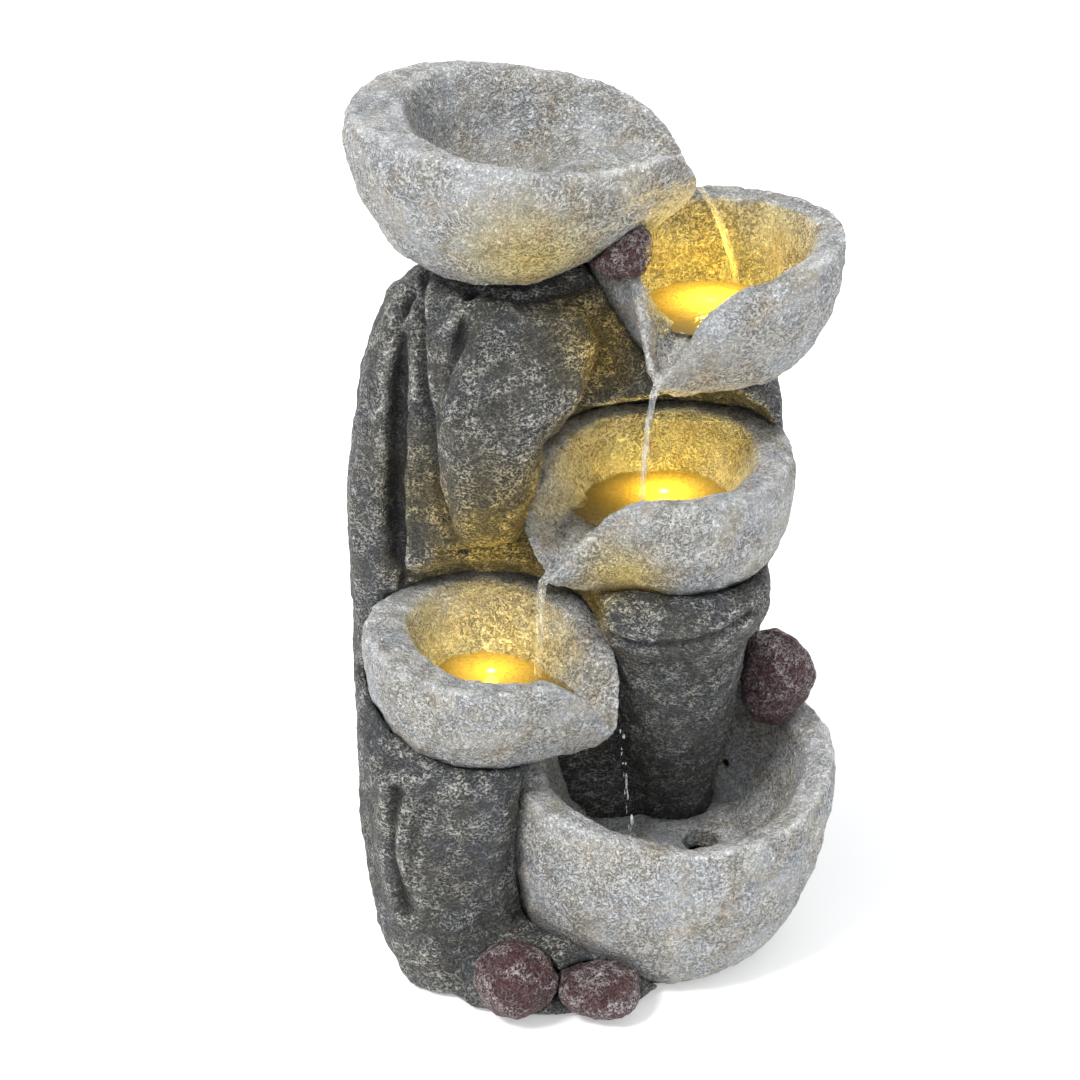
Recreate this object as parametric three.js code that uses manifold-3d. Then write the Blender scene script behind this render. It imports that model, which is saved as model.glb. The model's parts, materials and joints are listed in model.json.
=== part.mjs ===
// Tabletop cascade fountain: five stone-look bowls stepped down a hollow rock column,
// pebbles between them, and a small submersible pump behind a door at the rear.
// Millimetres, +Z up, flat back towards +Y, origin on the floor at the centre of the outline.
import * as THREE from 'three';
import { mergeVertices } from 'three/addons/utils/BufferGeometryUtils.js';
import Module from 'manifold-3d';

// ---------- driving dimensions ----------
const CASCADE_YAW = -25;          // the cascade's own axes are turned this far from the flat back
const ORIGIN_SHIFT = [4.73, 5.58];    // moves the outline's centre onto the origin
const GAP = 0.4;                  // clearance between castings that touch
const BACK_Y = 100;               // flat rear face of the column
const FLOOR_GAP = 1.5;            // the pads hold the castings this far off the table
const CHAMBER = { x: [-60, 44], y: [14, 92], z: [12, 96] };
const DOOR = { x: [-50, 34], z: [14, 94], lap: 5, thickness: 3, tab: [94, 110], screw: [-8, 103] };
const PUMP = { x: [-34, 6], y: [26, 64], z: [17, 47], axisZ: 31 };
const RISER = { x: -14, y: 56, outer: 5.7, inner: 4.2, from: 50, to: 330 };
const LAMP = { radius: 4.6, flange: 6.2, depth: 12, lens: 3.4 };
const LEAD_RADIUS = 1.3;
const CORD_GLAND = { x: 54, z: 22, bore: 3.2, hole: 5 };
const PADS = [[-76, 78], [50, 78], [-82, -40], [28, -76]];

// Bowls, in the cascade's axes: centre of the rim, outer radius, distance and direction of the
// spout tip, heights, wall thickness, and how wide the spout and its notch are on each side.
const BOWLS = {
  top_bowl: {
    centre: [-46, 45], radius: 71, reach: 98, spout: 3, rim: 411, tip: 376, pool: 387,
    floor: 366, base: 334, wall: 11, thick: [185, 17], thin: 7, lean: 6, leanTo: 150,
    flare: [60, 42], flarePower: [1.6, 1.3], notch: [17, 22], notchPower: [2.2, 1.5],
    pinch: [0, 0, 20], baseShift: [-2, -4], full: 1.35, lip: 0.8,
    wobble: 0.02, seed: 1.3, slope: 13,
  },
  upper_bowl: {
    centre: [59, 45], radius: 62, reach: 66, spout: 242, rim: 349, tip: 297, pool: 313,
    floor: 305, base: 276, wall: 13, thick: [80, 3], thin: 6, lean: 6, leanTo: 40,
    flare: [14, 20], flarePower: [1.3, 1.3], notch: [13, 17], notchPower: [1.5, 1.5],
    pinch: [9, -24, 15], baseShift: [1, 2], full: 1.25, lip: 1.5,
    wobble: 0.015, seed: 2.1, slope: 9,
  },
  middle_bowl: {
    centre: [33.5, 13], radius: 64, reach: 80, spout: 222, rim: 251, tip: 206, pool: 223,
    floor: 215, base: 187, wall: 14, thick: [20, 4], thin: 6, lean: 2, leanTo: 80,
    flare: [30, 12], flarePower: [2.5, 1.3], notch: [28, 14], notchPower: [0.8, 1.5],
    pinch: [5, 20, 14], baseShift: [9, -4], full: 1, lip: 1.5,
    wobble: 0.015, seed: 0.4, slope: 9,
  },
  lower_bowl: {
    centre: [-52, -30], radius: 61, reach: 71, spout: -25, rim: 176, tip: 136, pool: 144,
    floor: 137, base: 112, wall: 15, thick: [200, 7], thin: 6, lean: 3, leanTo: 120,
    flare: [17, 24], flarePower: [1.3, 1.3], notch: [17, 26], notchPower: [1.5, 1.5],
    pinch: [3, -34, 18], baseShift: [-3, 0], full: 1, lip: 1.5,
    wobble: 0.02, seed: 3.3, slope: 9,
  },
};
const BASIN = {
  centre: [45, -22], radius: 77, rim: 103, floor: 50, base: FLOOR_GAP, wall: 12,
  footShift: [-9, -8], drain: { at: [56, -22], radius: 9.5 },
};
const PEBBLES = {
  pebble_top: { at: [12, 22, 352], size: [17, 16, 16], seed: 2.0, facets: 0.04 },
  pebble_right: { at: [92.5, 9, 127], size: [19, 18, 26], seed: 5.1, facets: 0.05 },
  pebble_front_large: { at: [-38, -104, 21.5], size: [21.5, 20, 20], seed: 0.7, facets: 0.03 },
  pebble_front_small: { at: [3, -104, 15.5], size: [21.5, 16, 14.5], seed: 1.9, facets: 0.05 },
};
const LED_SPOTS = { upper_bowl: [57, 52], middle_bowl: [35, 24], lower_bowl: [-50, -16] };

// ---------- colours ----------
const COLOURS = {
  rock: ['#3c4348', 0.85], bowl: ['#9a9a94', 0.8], pebble: ['#5a2f30', 0.75],
  housing: ['#1b1c1e', 0.45], trim: ['#2a2c2f', 0.5], rubber: ['#151515', 0.9],
  sponge: ['#20262c', 0.95], blue: ['#27536b', 0.4], hose: ['#cfd6d8', 0.25],
  lens: ['#ffd873', 0.15], steel: ['#c4c6c8', 0.3], magnet: ['#33302e', 0.5],
};

// ---------- solids ----------
const wasm = await Module();
wasm.setup();

function signedVolume(vertices, triangles) {
  let total = 0;
  for (let i = 0; i < triangles.length; i += 3) {
    const [a, b, c] = [triangles[i], triangles[i + 1], triangles[i + 2]].map((k) =>
      new THREE.Vector3(vertices[3 * k], vertices[3 * k + 1], vertices[3 * k + 2]));
    total += a.dot(b.cross(c)) / 6;
  }
  return total;
}

// A closed three.js geometry as a solid, with its faces turned outwards.
function solid(geometry) {
  const bare = geometry.index ? geometry.clone() : geometry;
  bare.deleteAttribute('normal');
  bare.deleteAttribute('uv');
  const merged = mergeVertices(bare, 1e-3);
  const vertices = Float32Array.from(merged.attributes.position.array);
  const kept = [];
  for (let i = 0; i < merged.index.count; i += 3) {
    const a = merged.index.getX(i);
    const b = merged.index.getX(i + 1);
    const c = merged.index.getX(i + 2);
    if (a !== b && b !== c && c !== a) kept.push(a, b, c);
  }
  if (signedVolume(vertices, kept) < 0) {
    for (let i = 0; i < kept.length; i += 3) [kept[i], kept[i + 1]] = [kept[i + 1], kept[i]];
  }
  const triVerts = Uint32Array.from(kept);
  return new wasm.Manifold(new wasm.Mesh({ numProp: 3, vertProperties: vertices, triVerts }));
}

function geometryOf(manifold) {
  const mesh = manifold.getMesh();
  const positions = new Float32Array(mesh.numVert * 3);
  for (let i = 0; i < mesh.numVert; i += 1) {
    for (let k = 0; k < 3; k += 1) {
      positions[3 * i + k] = mesh.vertProperties[mesh.numProp * i + k];
    }
  }
  const geometry = new THREE.BufferGeometry();
  geometry.setAttribute('position', new THREE.BufferAttribute(positions, 3));
  geometry.setIndex(new THREE.BufferAttribute(Uint32Array.from(mesh.triVerts), 1));
  geometry.computeVertexNormals();
  return geometry;
}

function union(solids) {
  return solids.reduce((sum, next) => sum.add(next));
}

const radians = THREE.MathUtils.degToRad;
const wrap = (degrees) => ((degrees + 540) % 360) - 180;

// Turns a geometry made in the cascade's axes into the fountain's own axes.
function fromCascade(geometry) {
  return geometry.rotateZ(radians(CASCADE_YAW));
}

function cascadePoint(u, v, z) {
  return new THREE.Vector3(u, v, z).applyAxisAngle(new THREE.Vector3(0, 0, 1), radians(CASCADE_YAW));
}

function box(x, y, z) {
  const shape = new THREE.BoxGeometry(x[1] - x[0], y[1] - y[0], z[1] - z[0]);
  return solid(shape.translate((x[0] + x[1]) / 2, (y[0] + y[1]) / 2, (z[0] + z[1]) / 2));
}

// A cylinder from one point to another.
function rod(from, to, radius, segments = 12, endRadius = radius) {
  const length = from.distanceTo(to);
  const shape = new THREE.CylinderGeometry(endRadius, radius, length, segments);
  const turn = new THREE.Quaternion().setFromUnitVectors(
    new THREE.Vector3(0, 1, 0), to.clone().sub(from).normalize());
  shape.applyQuaternion(turn);
  const middle = from.clone().add(to).multiplyScalar(0.5);
  return solid(shape.translate(middle.x, middle.y, middle.z));
}

function upright(x, y, z0, z1, radius, segments = 16) {
  return rod(new THREE.Vector3(x, y, z0), new THREE.Vector3(x, y, z1), radius, segments);
}

// A passage that follows a run of points on the same smooth path as the lead inside it.
function passage(route, radius, pieces = 12) {
  const points = new THREE.CatmullRomCurve3(route, false, 'centripetal').getSpacedPoints(pieces);
  const parts = [];
  for (let i = 0; i + 1 < points.length; i += 1) {
    const reach = points[i + 1].clone().sub(points[i]).normalize().multiplyScalar(1.5);
    parts.push(rod(points[i].clone().sub(reach), points[i + 1].clone().add(reach), radius, 6));
  }
  return union(parts);
}

// A round cord or hose that follows a run of points.
function tubeAlong(points, radius, segments, steps, inner = 0) {
  const path = new THREE.CatmullRomCurve3(points, false, 'centripetal');
  const section = new THREE.Shape().absarc(0, 0, radius, 0, 2 * Math.PI, false);
  const make = (outline) => solid(new THREE.ExtrudeGeometry(outline, {
    steps, curveSegments: segments, bevelEnabled: false, extrudePath: path,
  }));
  if (!inner) return make(section);
  section.holes.push(new THREE.Path().absarc(0, 0, inner, 0, 2 * Math.PI, true));
  return make(section);
}

// A lathe whose every ring point is moved to where place(ring, angle) says.
function warpedLathe(rings, segments, place) {
  const profile = [];
  for (let j = 0; j < rings; j += 1) {
    const onAxis = j === 0 || j === rings - 1;
    profile.push(new THREE.Vector2(onAxis ? 0 : 1, j));
  }
  const geometry = new THREE.LatheGeometry(profile, segments);
  const positions = geometry.attributes.position;
  for (let i = 0; i <= segments; i += 1) {
    for (let j = 0; j < rings; j += 1) {
      const angle = -180 + (360 * (i % segments)) / segments;
      const point = place(j, angle);
      positions.setXYZ(i * rings + j, point[0], point[1], point[2]);
    }
  }
  return geometry;
}

// ---------- rock shapes ----------
function ripple(angle, height, seed) {
  const a = radians(angle);
  return 0.5 * Math.sin(3 * a + seed * 5 + height * 0.021)
    + 0.35 * Math.sin(5 * a - seed * 9 + height * 0.034)
    + 0.3 * Math.sin(2 * a + seed * 3 - height * 0.05);
}

// An upright rock: stacked rounded-square sections [z, u, v, half width, half depth].
function pillar(sections, {
  power = 2.7, segments = 18, rough = 0.04, seed = 0, grow = 0, turned = true,
} = {}) {
  const count = sections.length;
  const geometry = warpedLathe(count + 2, segments, (ring, angle) => {
    const index = Math.min(Math.max(ring - 1, 0), count - 1);
    const [z, u, v, halfU, halfV] = sections[index];
    if (ring === 0) return [u, v, z - grow];
    if (ring === count + 1) return [u, v, z + grow + 1.5];
    const c = Math.cos(radians(angle));
    const s = Math.sin(radians(angle));
    const reach = (Math.abs(c / (halfU + grow)) ** power
      + Math.abs(s / (halfV + grow)) ** power) ** (-1 / power);
    const r = reach * (1 + rough * ripple(angle, z, seed));
    const lift = ring === 1 ? -grow : (ring === count ? grow : 0);
    return [u + r * c, v + r * s, z + lift];
  });
  return solid(turned ? fromCascade(geometry) : geometry);
}

// A loose rounded stone, slightly faceted.
function stone({ at, size, seed, facets }, grow = 0) {
  const geometry = new THREE.SphereGeometry(1, 12, 8);
  const positions = geometry.attributes.position;
  const p = new THREE.Vector3();
  for (let i = 0; i < positions.count; i += 1) {
    p.fromBufferAttribute(positions, i);
    const bump = 1 + facets * (Math.sin(4 * p.x + seed * 3) + Math.sin(5 * p.y - seed * 7)
      + Math.sin(4 * p.z + seed * 11 + 2 * p.x));
    positions.setXYZ(i, at[0] + p.x * (size[0] * bump + grow),
      at[1] + p.y * (size[1] * bump + grow),
      Math.max(at[2] + p.z * (size[2] * bump + grow), FLOOR_GAP - grow));
  }
  return solid(fromCascade(geometry));
}

// ---------- bowls ----------
const OUTER_ROWS = [[0, 0], [0.36, 0], [0.58, 0.06], [0.78, 0.22], [0.93, 0.5], [1, 0.82], [0.985, 1]];
const INNER_ROWS = [1, 0.95, 0.88, 0.79, 0.64, 0.36, 0];

const bell = (x, width, power) => Math.exp(-((Math.abs(x) / width) ** power));
const side = (pair, delta) => (delta < 0 ? pair[0] : pair[1]);

function bowlPlan(b, delta) {
  const a = radians(b.spout + delta);
  const ripples = b.wobble * (Math.sin(2 * a + b.seed) + 0.7 * Math.sin(3 * a - b.seed));
  const round = b.radius * (1 + ripples) - b.pinch[0] * bell(delta - b.pinch[1], b.pinch[2], 2);
  const flare = bell(delta, side(b.flare, delta), side(b.flarePower, delta));
  return { round, extra: (b.reach - round) * flare };
}

function bowlRim(b, delta) {
  const a = b.spout + delta;
  const level = b.rim + b.lean * Math.cos(radians(a - b.leanTo))
    + 1.2 * Math.sin(radians(3 * a) + b.seed);
  return level - (level - b.tip) * bell(delta, side(b.notch, delta), side(b.notchPower, delta));
}

function bowlInner(b, delta) {
  const step = 2;
  const here = bowlPlan(b, delta);
  const ahead = bowlPlan(b, delta + step);
  const radius = here.round + here.extra;
  const slope = (ahead.round + ahead.extra - radius) / radians(step) / radius;
  const squareness = 1 / Math.sqrt(1 + slope * slope);
  const stout = b.wall + b.thick[1] * bell(wrap(b.spout + delta - b.thick[0]), 48, 2);
  const wall = stout + (b.thin - stout) * bell(delta, 38, 2);
  return { inner: radius - Math.min(wall / squareness, wall * 1.5), squareness };
}

// Height of the spout's channel along its axis: pool floor, a low sill, then down to the tip.
function channel(b, along) {
  const sill = b.pool - 1;
  const edge = b.radius * 0.5;
  if (along > edge) {
    return sill + (b.tip - sill) * Math.min((along - edge) / (b.reach - edge), 1);
  }
  const t = THREE.MathUtils.smoothstep(along, edge * 0.35, edge);
  return b.floor + (sill - b.floor) * t;
}

// Columns crowd towards the spout, where the shape is finest.
const crowd = (angle) => angle - 0.55 * THREE.MathUtils.radToDeg(Math.sin(radians(angle)));

function bowlOuterPoint(b, row, delta, grow) {
  const [reach, rise] = OUTER_ROWS[row];
  const a = radians(b.spout + delta);
  const plan = bowlPlan(b, delta);
  const r = reach ** b.full * (plan.round + plan.extra * rise ** b.lip) + (reach ? grow : 0);
  const z = b.base + (bowlRim(b, delta) - b.base) * rise + grow * (2 * rise - 1);
  const u = b.centre[0] + b.baseShift[0] * (1 - rise) + r * Math.cos(a);
  const v = b.centre[1] + b.baseShift[1] * (1 - rise) + r * Math.sin(a);
  return [u, v, z];
}

function bowlInnerPoint(b, row, delta) {
  const a = radians(b.spout + delta);
  const { inner, squareness } = bowlInner(b, delta);
  const r = inner * INNER_ROWS[row];
  const bottom = channel(b, r * Math.cos(radians(delta)) > 0 && Math.abs(delta) < 60
    ? r * Math.cos(radians(delta)) : 0);
  const wallPart = Math.exp(-((((inner - r) * squareness) / b.slope) ** 1.6));
  const z = r === 0 ? b.floor : bottom + (bowlRim(b, delta) - 1 - bottom) * wallPart;
  return [b.centre[0] + r * Math.cos(a), b.centre[1] + r * Math.sin(a), z];
}

function bowl(b, segments = 28) {
  const rings = OUTER_ROWS.length + INNER_ROWS.length;
  return solid(fromCascade(warpedLathe(rings, segments, (row, angle) => {
    const delta = crowd(angle);
    if (row < OUTER_ROWS.length) return bowlOuterPoint(b, row, delta, 0);
    return bowlInnerPoint(b, row - OUTER_ROWS.length, delta);
  })));
}

// The bowl's outside, used to seat it in the rock.
function bowlSeat(b, segments = 28) {
  const rows = OUTER_ROWS.length;
  return solid(fromCascade(warpedLathe(rows + 1, segments, (row, angle) => {
    if (row === rows) return [b.centre[0], b.centre[1], b.rim];
    return bowlOuterPoint(b, row, crowd(angle), GAP);
  })));
}

// The open space over a bowl, kept clear of rock.
function headroom(b, height) {
  const [u, v] = b.centre;
  const half = b.radius - 4;
  return pillar([
    [b.rim - 30, u, v, half - 8, half - 8], [b.rim - 10, u, v, half, half],
    [b.rim + height * 0.3, u, v - height * 0.3, half, half],
    [b.rim + height, u, v - height * 1.4, half, half],
  ], { power: 2.2, segments: 20, rough: 0 });
}

// ---------- basin ----------
const BASIN_ROWS = [[0, 0], [0.62, 0], [0.77, 0.1], [0.9, 0.3], [0.985, 0.58], [1.01, 0.85], [0.985, 1]];
const BASIN_INNER = [1, 0.97, 0.92, 0.84, 0.7, 0];

function basinPlan(angle) {
  const lobe = bell(wrap(angle - 208), 30, 2);
  const radius = BASIN.radius + 15 * lobe + 1.5 * Math.sin(radians(3 * angle));
  const rim = BASIN.rim + 13 * Math.cos(radians(angle - 100)) + 2 * bell(wrap(angle - 215), 34, 2);
  const wall = BASIN.wall + 4 * Math.cos(radians(angle - 20)) + 10 * bell(wrap(angle - 210), 34, 2);
  return { radius, rim, wall };
}

function basinOuterPoint(row, angle, grow) {
  const { radius, rim } = basinPlan(angle);
  const [reach, rise] = BASIN_ROWS[row];
  const r = radius * reach + (reach ? grow : 0);
  const z = BASIN.base + (rim - BASIN.base) * rise + grow * (2 * rise - 1);
  const a = radians(angle);
  const u = BASIN.centre[0] + BASIN.footShift[0] * (1 - rise) + r * Math.cos(a);
  return [u, BASIN.centre[1] + BASIN.footShift[1] * (1 - rise) + r * Math.sin(a), z];
}

function basinSolid(segments = 28) {
  const outer = BASIN_ROWS.length;
  return solid(fromCascade(warpedLathe(outer + BASIN_INNER.length, segments, (row, angle) => {
    if (row < outer) return basinOuterPoint(row, angle, 0);
    const { radius, rim, wall } = basinPlan(angle);
    const inner = radius - wall;
    const r = inner * BASIN_INNER[row - outer];
    const wallPart = Math.exp(-(((inner - r) / 9) ** 1.6));
    const z = r === 0 ? BASIN.floor : BASIN.floor + (rim - 2 - BASIN.floor) * wallPart;
    const a = radians(angle);
    return [BASIN.centre[0] + r * Math.cos(a), BASIN.centre[1] + r * Math.sin(a), z];
  })));
}

function basinSeat(segments = 28) {
  const outer = BASIN_ROWS.length;
  return solid(fromCascade(warpedLathe(outer + 2, segments, (row, angle) => {
    if (row < outer) return basinOuterPoint(row, angle, GAP);
    if (row === outer) {
      const edge = basinOuterPoint(outer - 1, angle, GAP);
      const [u, v] = BASIN.centre;
      return [u + (edge[0] - u) * 0.93, v + (edge[1] - v) * 0.93, edge[2] + 12];
    }
    return [BASIN.centre[0], BASIN.centre[1], 150];
  })));
}

// ---------- rock column ----------
// Rocks that stand in the basin: the core and the pedestal with its overhanging lip.
function coreRocks(grow = 0) {
  const base = FLOOR_GAP;
  const core = pillar([
    [base, -14, 54, 70, 56], [60, -14, 54, 72, 56], [120, -10, 54, 78, 58],
    [200, -8, 58, 78, 52], [285, -14, 56, 64, 46], [318, -24, 54, 52, 42], [330, -32, 52, 38, 32],
  ], { power: 3.2, segments: 16, rough: 0.02, seed: 0.6, grow });
  const pedestal = pillar([
    [base, 42, 22, 20, 20], [58, 42, 18, 20, 22], [100, 42, 8, 28, 32], [150, 41, -2, 35, 38],
    [166, 40, -4, 38, 41], [171, 37, -3, 47, 48], [184, 36, -2, 52, 53], [196, 36, 2, 50, 50],
  ], { power: 2.3, segments: 18, rough: 0.02, seed: 1.7, grow });
  const spine = pillar([
    [base, -8, 62, 84, 42], [150, -8, 62, 84, 42], [240, -6, 62, 76, 42], [290, -14, 60, 64, 40],
    [322, -22, 58, 48, 36], [331, -26, 56, 36, 30],
  ], { power: 5, segments: 20, rough: 0.006, seed: 3.3, grow, turned: false });
  return union([core, pedestal, spine]);
}

function flankRocks() {
  const rearSlab = pillar([
    [FLOOR_GAP, -90, 18, 22, 44], [50, -95, 18, 24, 48], [110, -97, 28, 23, 42],
    [150, -98, 34, 23, 34], [220, -101, 36, 21, 34], [285, -95, 40, 18, 32],
    [318, -86, 42, 15, 28], [331, -80, 44, 8, 16],
  ], { power: 2.8, segments: 14, rough: 0.03, seed: 2.2 });
  const secondSlab = pillar([
    [150, -78, 30, 18, 40], [230, -78, 34, 17, 42], [300, -75, 38, 15, 42], [332, -70, 44, 12, 28],
  ], { power: 2.6, segments: 12, rough: 0.03, seed: 0.9 });
  const innerFin = pillar([
    [210, -66, 8, 10, 34], [270, -65, 12, 10, 36], [318, -62, 22, 9, 30], [328, -58, 26, 6, 20],
  ], { power: 2.4, segments: 10, rough: 0.03, seed: 3.1 });
  const boulder = pillar([
    [213, -50, 6, 12, 22], [220, -50, 0, 17, 32], [246, -50, -3, 23, 39], [270, -47, -2, 27, 41],
    [290, -39, 2, 34, 40],
    [312, -31, 12, 33, 34], [326, -30, 18, 24, 26],
  ], { power: 3, segments: 16, rough: 0.05, seed: 4.4 });
  const lowerLeft = pillar([
    [FLOOR_GAP, -66, -40, 32, 50], [24, -70, -38, 38, 54], [80, -74, -34, 42, 54],
    [118, -73, -30, 42, 52], [150, -76, -10, 40, 42], [165, -70, 10, 38, 32],
  ], { power: 2.9, segments: 18, rough: 0.045, seed: 5.2 });
  const shoulder = pillar([
    [100, -40, 26, 60, 40], [170, -42, 30, 60, 38], [194, -42, 34, 54, 34],
  ], { power: 2.8, segments: 16, rough: 0.03, seed: 1.1 });
  const upperRight = pillar([
    [110, 44, 56, 42, 46], [160, 46, 52, 42, 46], [230, 48, 52, 48, 46], [262, 50, 58, 45, 42],
    [285, 50, 66, 40, 34], [322, 20, 66, 30, 26],
  ], { power: 2.7, segments: 18, rough: 0.03, seed: 6.1 });
  const neck = pillar([
    [200, 2, 30, 22, 30], [280, 0, 34, 20, 30], [325, -4, 40, 18, 26], [338, -6, 42, 12, 18],
  ], { power: 2.5, segments: 12, rough: 0.04, seed: 7.3 });
  const frontFoot = pillar([
    [FLOOR_GAP, -20, -84, 54, 24], [12, -18, -84, 54, 23], [26, -22, -80, 46, 20], [34, -26, -76, 34, 14],
  ], { power: 2.4, segments: 14, rough: 0.03, seed: 8.2 });
  return union([rearSlab, secondSlab, innerFin, boulder, lowerLeft, shoulder, upperRight, neck, frontFoot]);
}

// Straight walls that bound the column at the rear and at its sides.
function rearBounds() {
  const outline = new THREE.Shape([
    [-125, -140], [125, -140], [125, 10], [104, 60], [74, BACK_Y], [-86, BACK_Y],
    [-112, 62], [-125, 20],
  ].map(([x, y]) => new THREE.Vector2(x, y)));
  return solid(new THREE.ExtrudeGeometry(outline, { depth: 360, bevelEnabled: false }));
}

function ledPoint(name) {
  const [u, v] = LED_SPOTS[name];
  return cascadePoint(u, v, BOWLS[name].floor);
}

// Where each lamp lead runs inside the column, from its lamp to the junction box.
function leadRoute(name) {
  const at = (x, y, z) => new THREE.Vector3(x, y, z);
  const lamp = ledPoint(name);
  const start = at(lamp.x, lamp.y, BOWLS[name].floor - LAMP.depth - 1);
  const under = at(lamp.x, lamp.y, BOWLS[name].base - 1);
  const bends = {
    upper_bowl: [at(66, 50, 268), at(32, 68, 256), at(0, 70, 222), at(-6, 72, 120), at(-24, 70, 96),
      at(-42, 64, 80)],
    middle_bowl: [at(lamp.x, lamp.y + 2, 160), at(26, 22, 120), at(8, 34, 84)],
    lower_bowl: [at(lamp.x, lamp.y + 2, 100), at(-46, 26, 88)],
  }[name];
  const dock = { upper_bowl: -49.5, middle_bowl: -38, lower_bowl: -44 }[name];
  return [start, under, ...bends, at(dock, 53, 80), at(dock, 52, 88.6)];
}

function hollows() {
  const [x0, x1] = DOOR.x;
  const [z0, z1] = DOOR.z;
  const lap = DOOR.lap;
  const face = BACK_Y - DOOR.thickness - 1;
  const [screwX, screwZ] = DOOR.screw;
  return union([
    box(CHAMBER.x, CHAMBER.y, CHAMBER.z),
    box(DOOR.x, [80, BACK_Y + 10], DOOR.z),
    box([x0 - lap, x1 + lap], [face, BACK_Y + 10], [z0 - lap, z1 + lap]),
    box([screwX - 11, screwX + 11], [face, BACK_Y + 10], DOOR.tab),
    rod(new THREE.Vector3(screwX, 84, screwZ), new THREE.Vector3(screwX, 110, screwZ), 4.4, 16),
    box([-60, 36], [61, 90], [CHAMBER.z[1] - 1, 262]),
    upright(RISER.x, RISER.y + 3, 90, 322, 16, 16),
    upright(RISER.x, RISER.y, 300, 345, 8.5, 16),
    box([28, 56], [-58, 30], [14, 38]),
    box([-98, -50], [-34, 40], [12, 92]),
    rod(new THREE.Vector3(CORD_GLAND.x, 80, CORD_GLAND.z),
      new THREE.Vector3(CORD_GLAND.x, 120, CORD_GLAND.z), CORD_GLAND.hole, 16),
    box([40, 62], [60, 92], [14, 30]),
  ]);
}

function rockColumn() {
  let rock = flankRocks().subtract(basinSeat()).add(coreRocks());
  rock = rock.intersect(rearBounds());
  for (const b of Object.values(BOWLS)) rock = rock.subtract(bowlSeat(b));
  rock = rock.subtract(headroom(BOWLS.lower_bowl, 40)).subtract(headroom(BOWLS.middle_bowl, 24));
  rock = rock.subtract(headroom(BOWLS.upper_bowl, 20));
  for (const p of Object.values(PEBBLES)) rock = rock.subtract(stone(p, GAP));
  rock = rock.subtract(hollows());
  for (const name of Object.keys(LED_SPOTS)) {
    const { x, y } = ledPoint(name);
    rock = rock.subtract(passage(leadRoute(name), 3.8));
    rock = rock.subtract(upright(x, y + 2, BOWLS[name].base - 9, BOWLS[name].base + 1, 6, 8));
  }
  return rock;
}

// ---------- lamps ----------
function lampPocket(name) {
  const { x, y } = ledPoint(name);
  const b = BOWLS[name];
  const well = upright(x, y, b.floor - LAMP.depth - 1.5, b.floor + 2, LAMP.radius + GAP, 16);
  const seat = upright(x, y, b.floor - 0.5, b.floor + 6, LAMP.flange + GAP, 16);
  return union([well, seat, upright(x, y, b.base - 5, b.floor - 8, 2.2, 12)]);
}

function lampHousing(name) {
  const { x, y } = ledPoint(name);
  const { floor } = BOWLS[name];
  const barrel = upright(x, y, floor - LAMP.depth, floor, LAMP.radius, 16);
  const flange = upright(x, y, floor - 0.15, floor + 1.1, LAMP.flange, 16);
  const socket = upright(x, y, floor - 4, floor + 3, LAMP.lens + GAP, 14);
  return barrel.add(flange).subtract(socket);
}

function lampLens(name) {
  const { x, y } = ledPoint(name);
  const { floor } = BOWLS[name];
  const profile = [[0, -3.6], [LAMP.lens, -3.6], [LAMP.lens, 1.4], [2.6, 3.2], [0, 4.2]];
  const lens = new THREE.LatheGeometry(profile.map(([r, z]) => new THREE.Vector2(r, z)), 12);
  return solid(lens.rotateX(Math.PI / 2).translate(x, y, floor));
}

function junctionBox() {
  return box([-53, -33], [44, 60], [89, 95.6]);
}

// ---------- pump ----------
const alongY = (x, z, y0, y1, radius, segments = 16) =>
  rod(new THREE.Vector3(x, y0, z), new THREE.Vector3(x, y1, z), radius, segments);

function roundedBox(x, y, z, corner) {
  const w = x[1] - x[0];
  const d = y[1] - y[0];
  const outline = new THREE.Shape();
  outline.moveTo(corner, 0).lineTo(w - corner, 0).quadraticCurveTo(w, 0, w, corner);
  outline.lineTo(w, d - corner).quadraticCurveTo(w, d, w - corner, d);
  outline.lineTo(corner, d).quadraticCurveTo(0, d, 0, d - corner);
  outline.lineTo(0, corner).quadraticCurveTo(0, 0, corner, 0);
  const shape = new THREE.ExtrudeGeometry(outline, {
    depth: z[1] - z[0], bevelEnabled: false, curveSegments: 3,
  });
  return solid(shape.translate(x[0], y[0], z[0]));
}

const CUP_SPOTS = [[-27, 32], [-1, 32], [-27, 58], [-1, 58]];
const IMPELLER_X = (PUMP.x[0] + PUMP.x[1]) / 2;

function pumpHousing() {
  const front = PUMP.y[1];
  let body = roundedBox(PUMP.x, PUMP.y, PUMP.z, 5);
  body = body.subtract(alongY(IMPELLER_X, PUMP.axisZ, 34, front + 2, 9.5, 20));
  body = body.subtract(alongY(IMPELLER_X, PUMP.axisZ, 29, 35, 1.35, 10));
  body = body.subtract(upright(RISER.x, RISER.y, PUMP.axisZ, PUMP.z[1] + 5, 3, 12));
  body = body.subtract(rod(new THREE.Vector3(0, 44, 39), new THREE.Vector3(10, 44, 39), 2.4, 10));
  for (const [x, y] of CUP_SPOTS) body = body.subtract(upright(x, y, 10, 20.5, 2.1, 10));
  return body;
}

function pumpNozzle() {
  const z = PUMP.z[1] + GAP;
  const tube = upright(RISER.x, RISER.y, z, z + 22, 3.85, 14);
  const foot = upright(RISER.x, RISER.y, z, z + 2, 7, 16);
  return tube.add(foot).subtract(upright(RISER.x, RISER.y, z - 2, z + 30, 2.6, 12));
}

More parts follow.
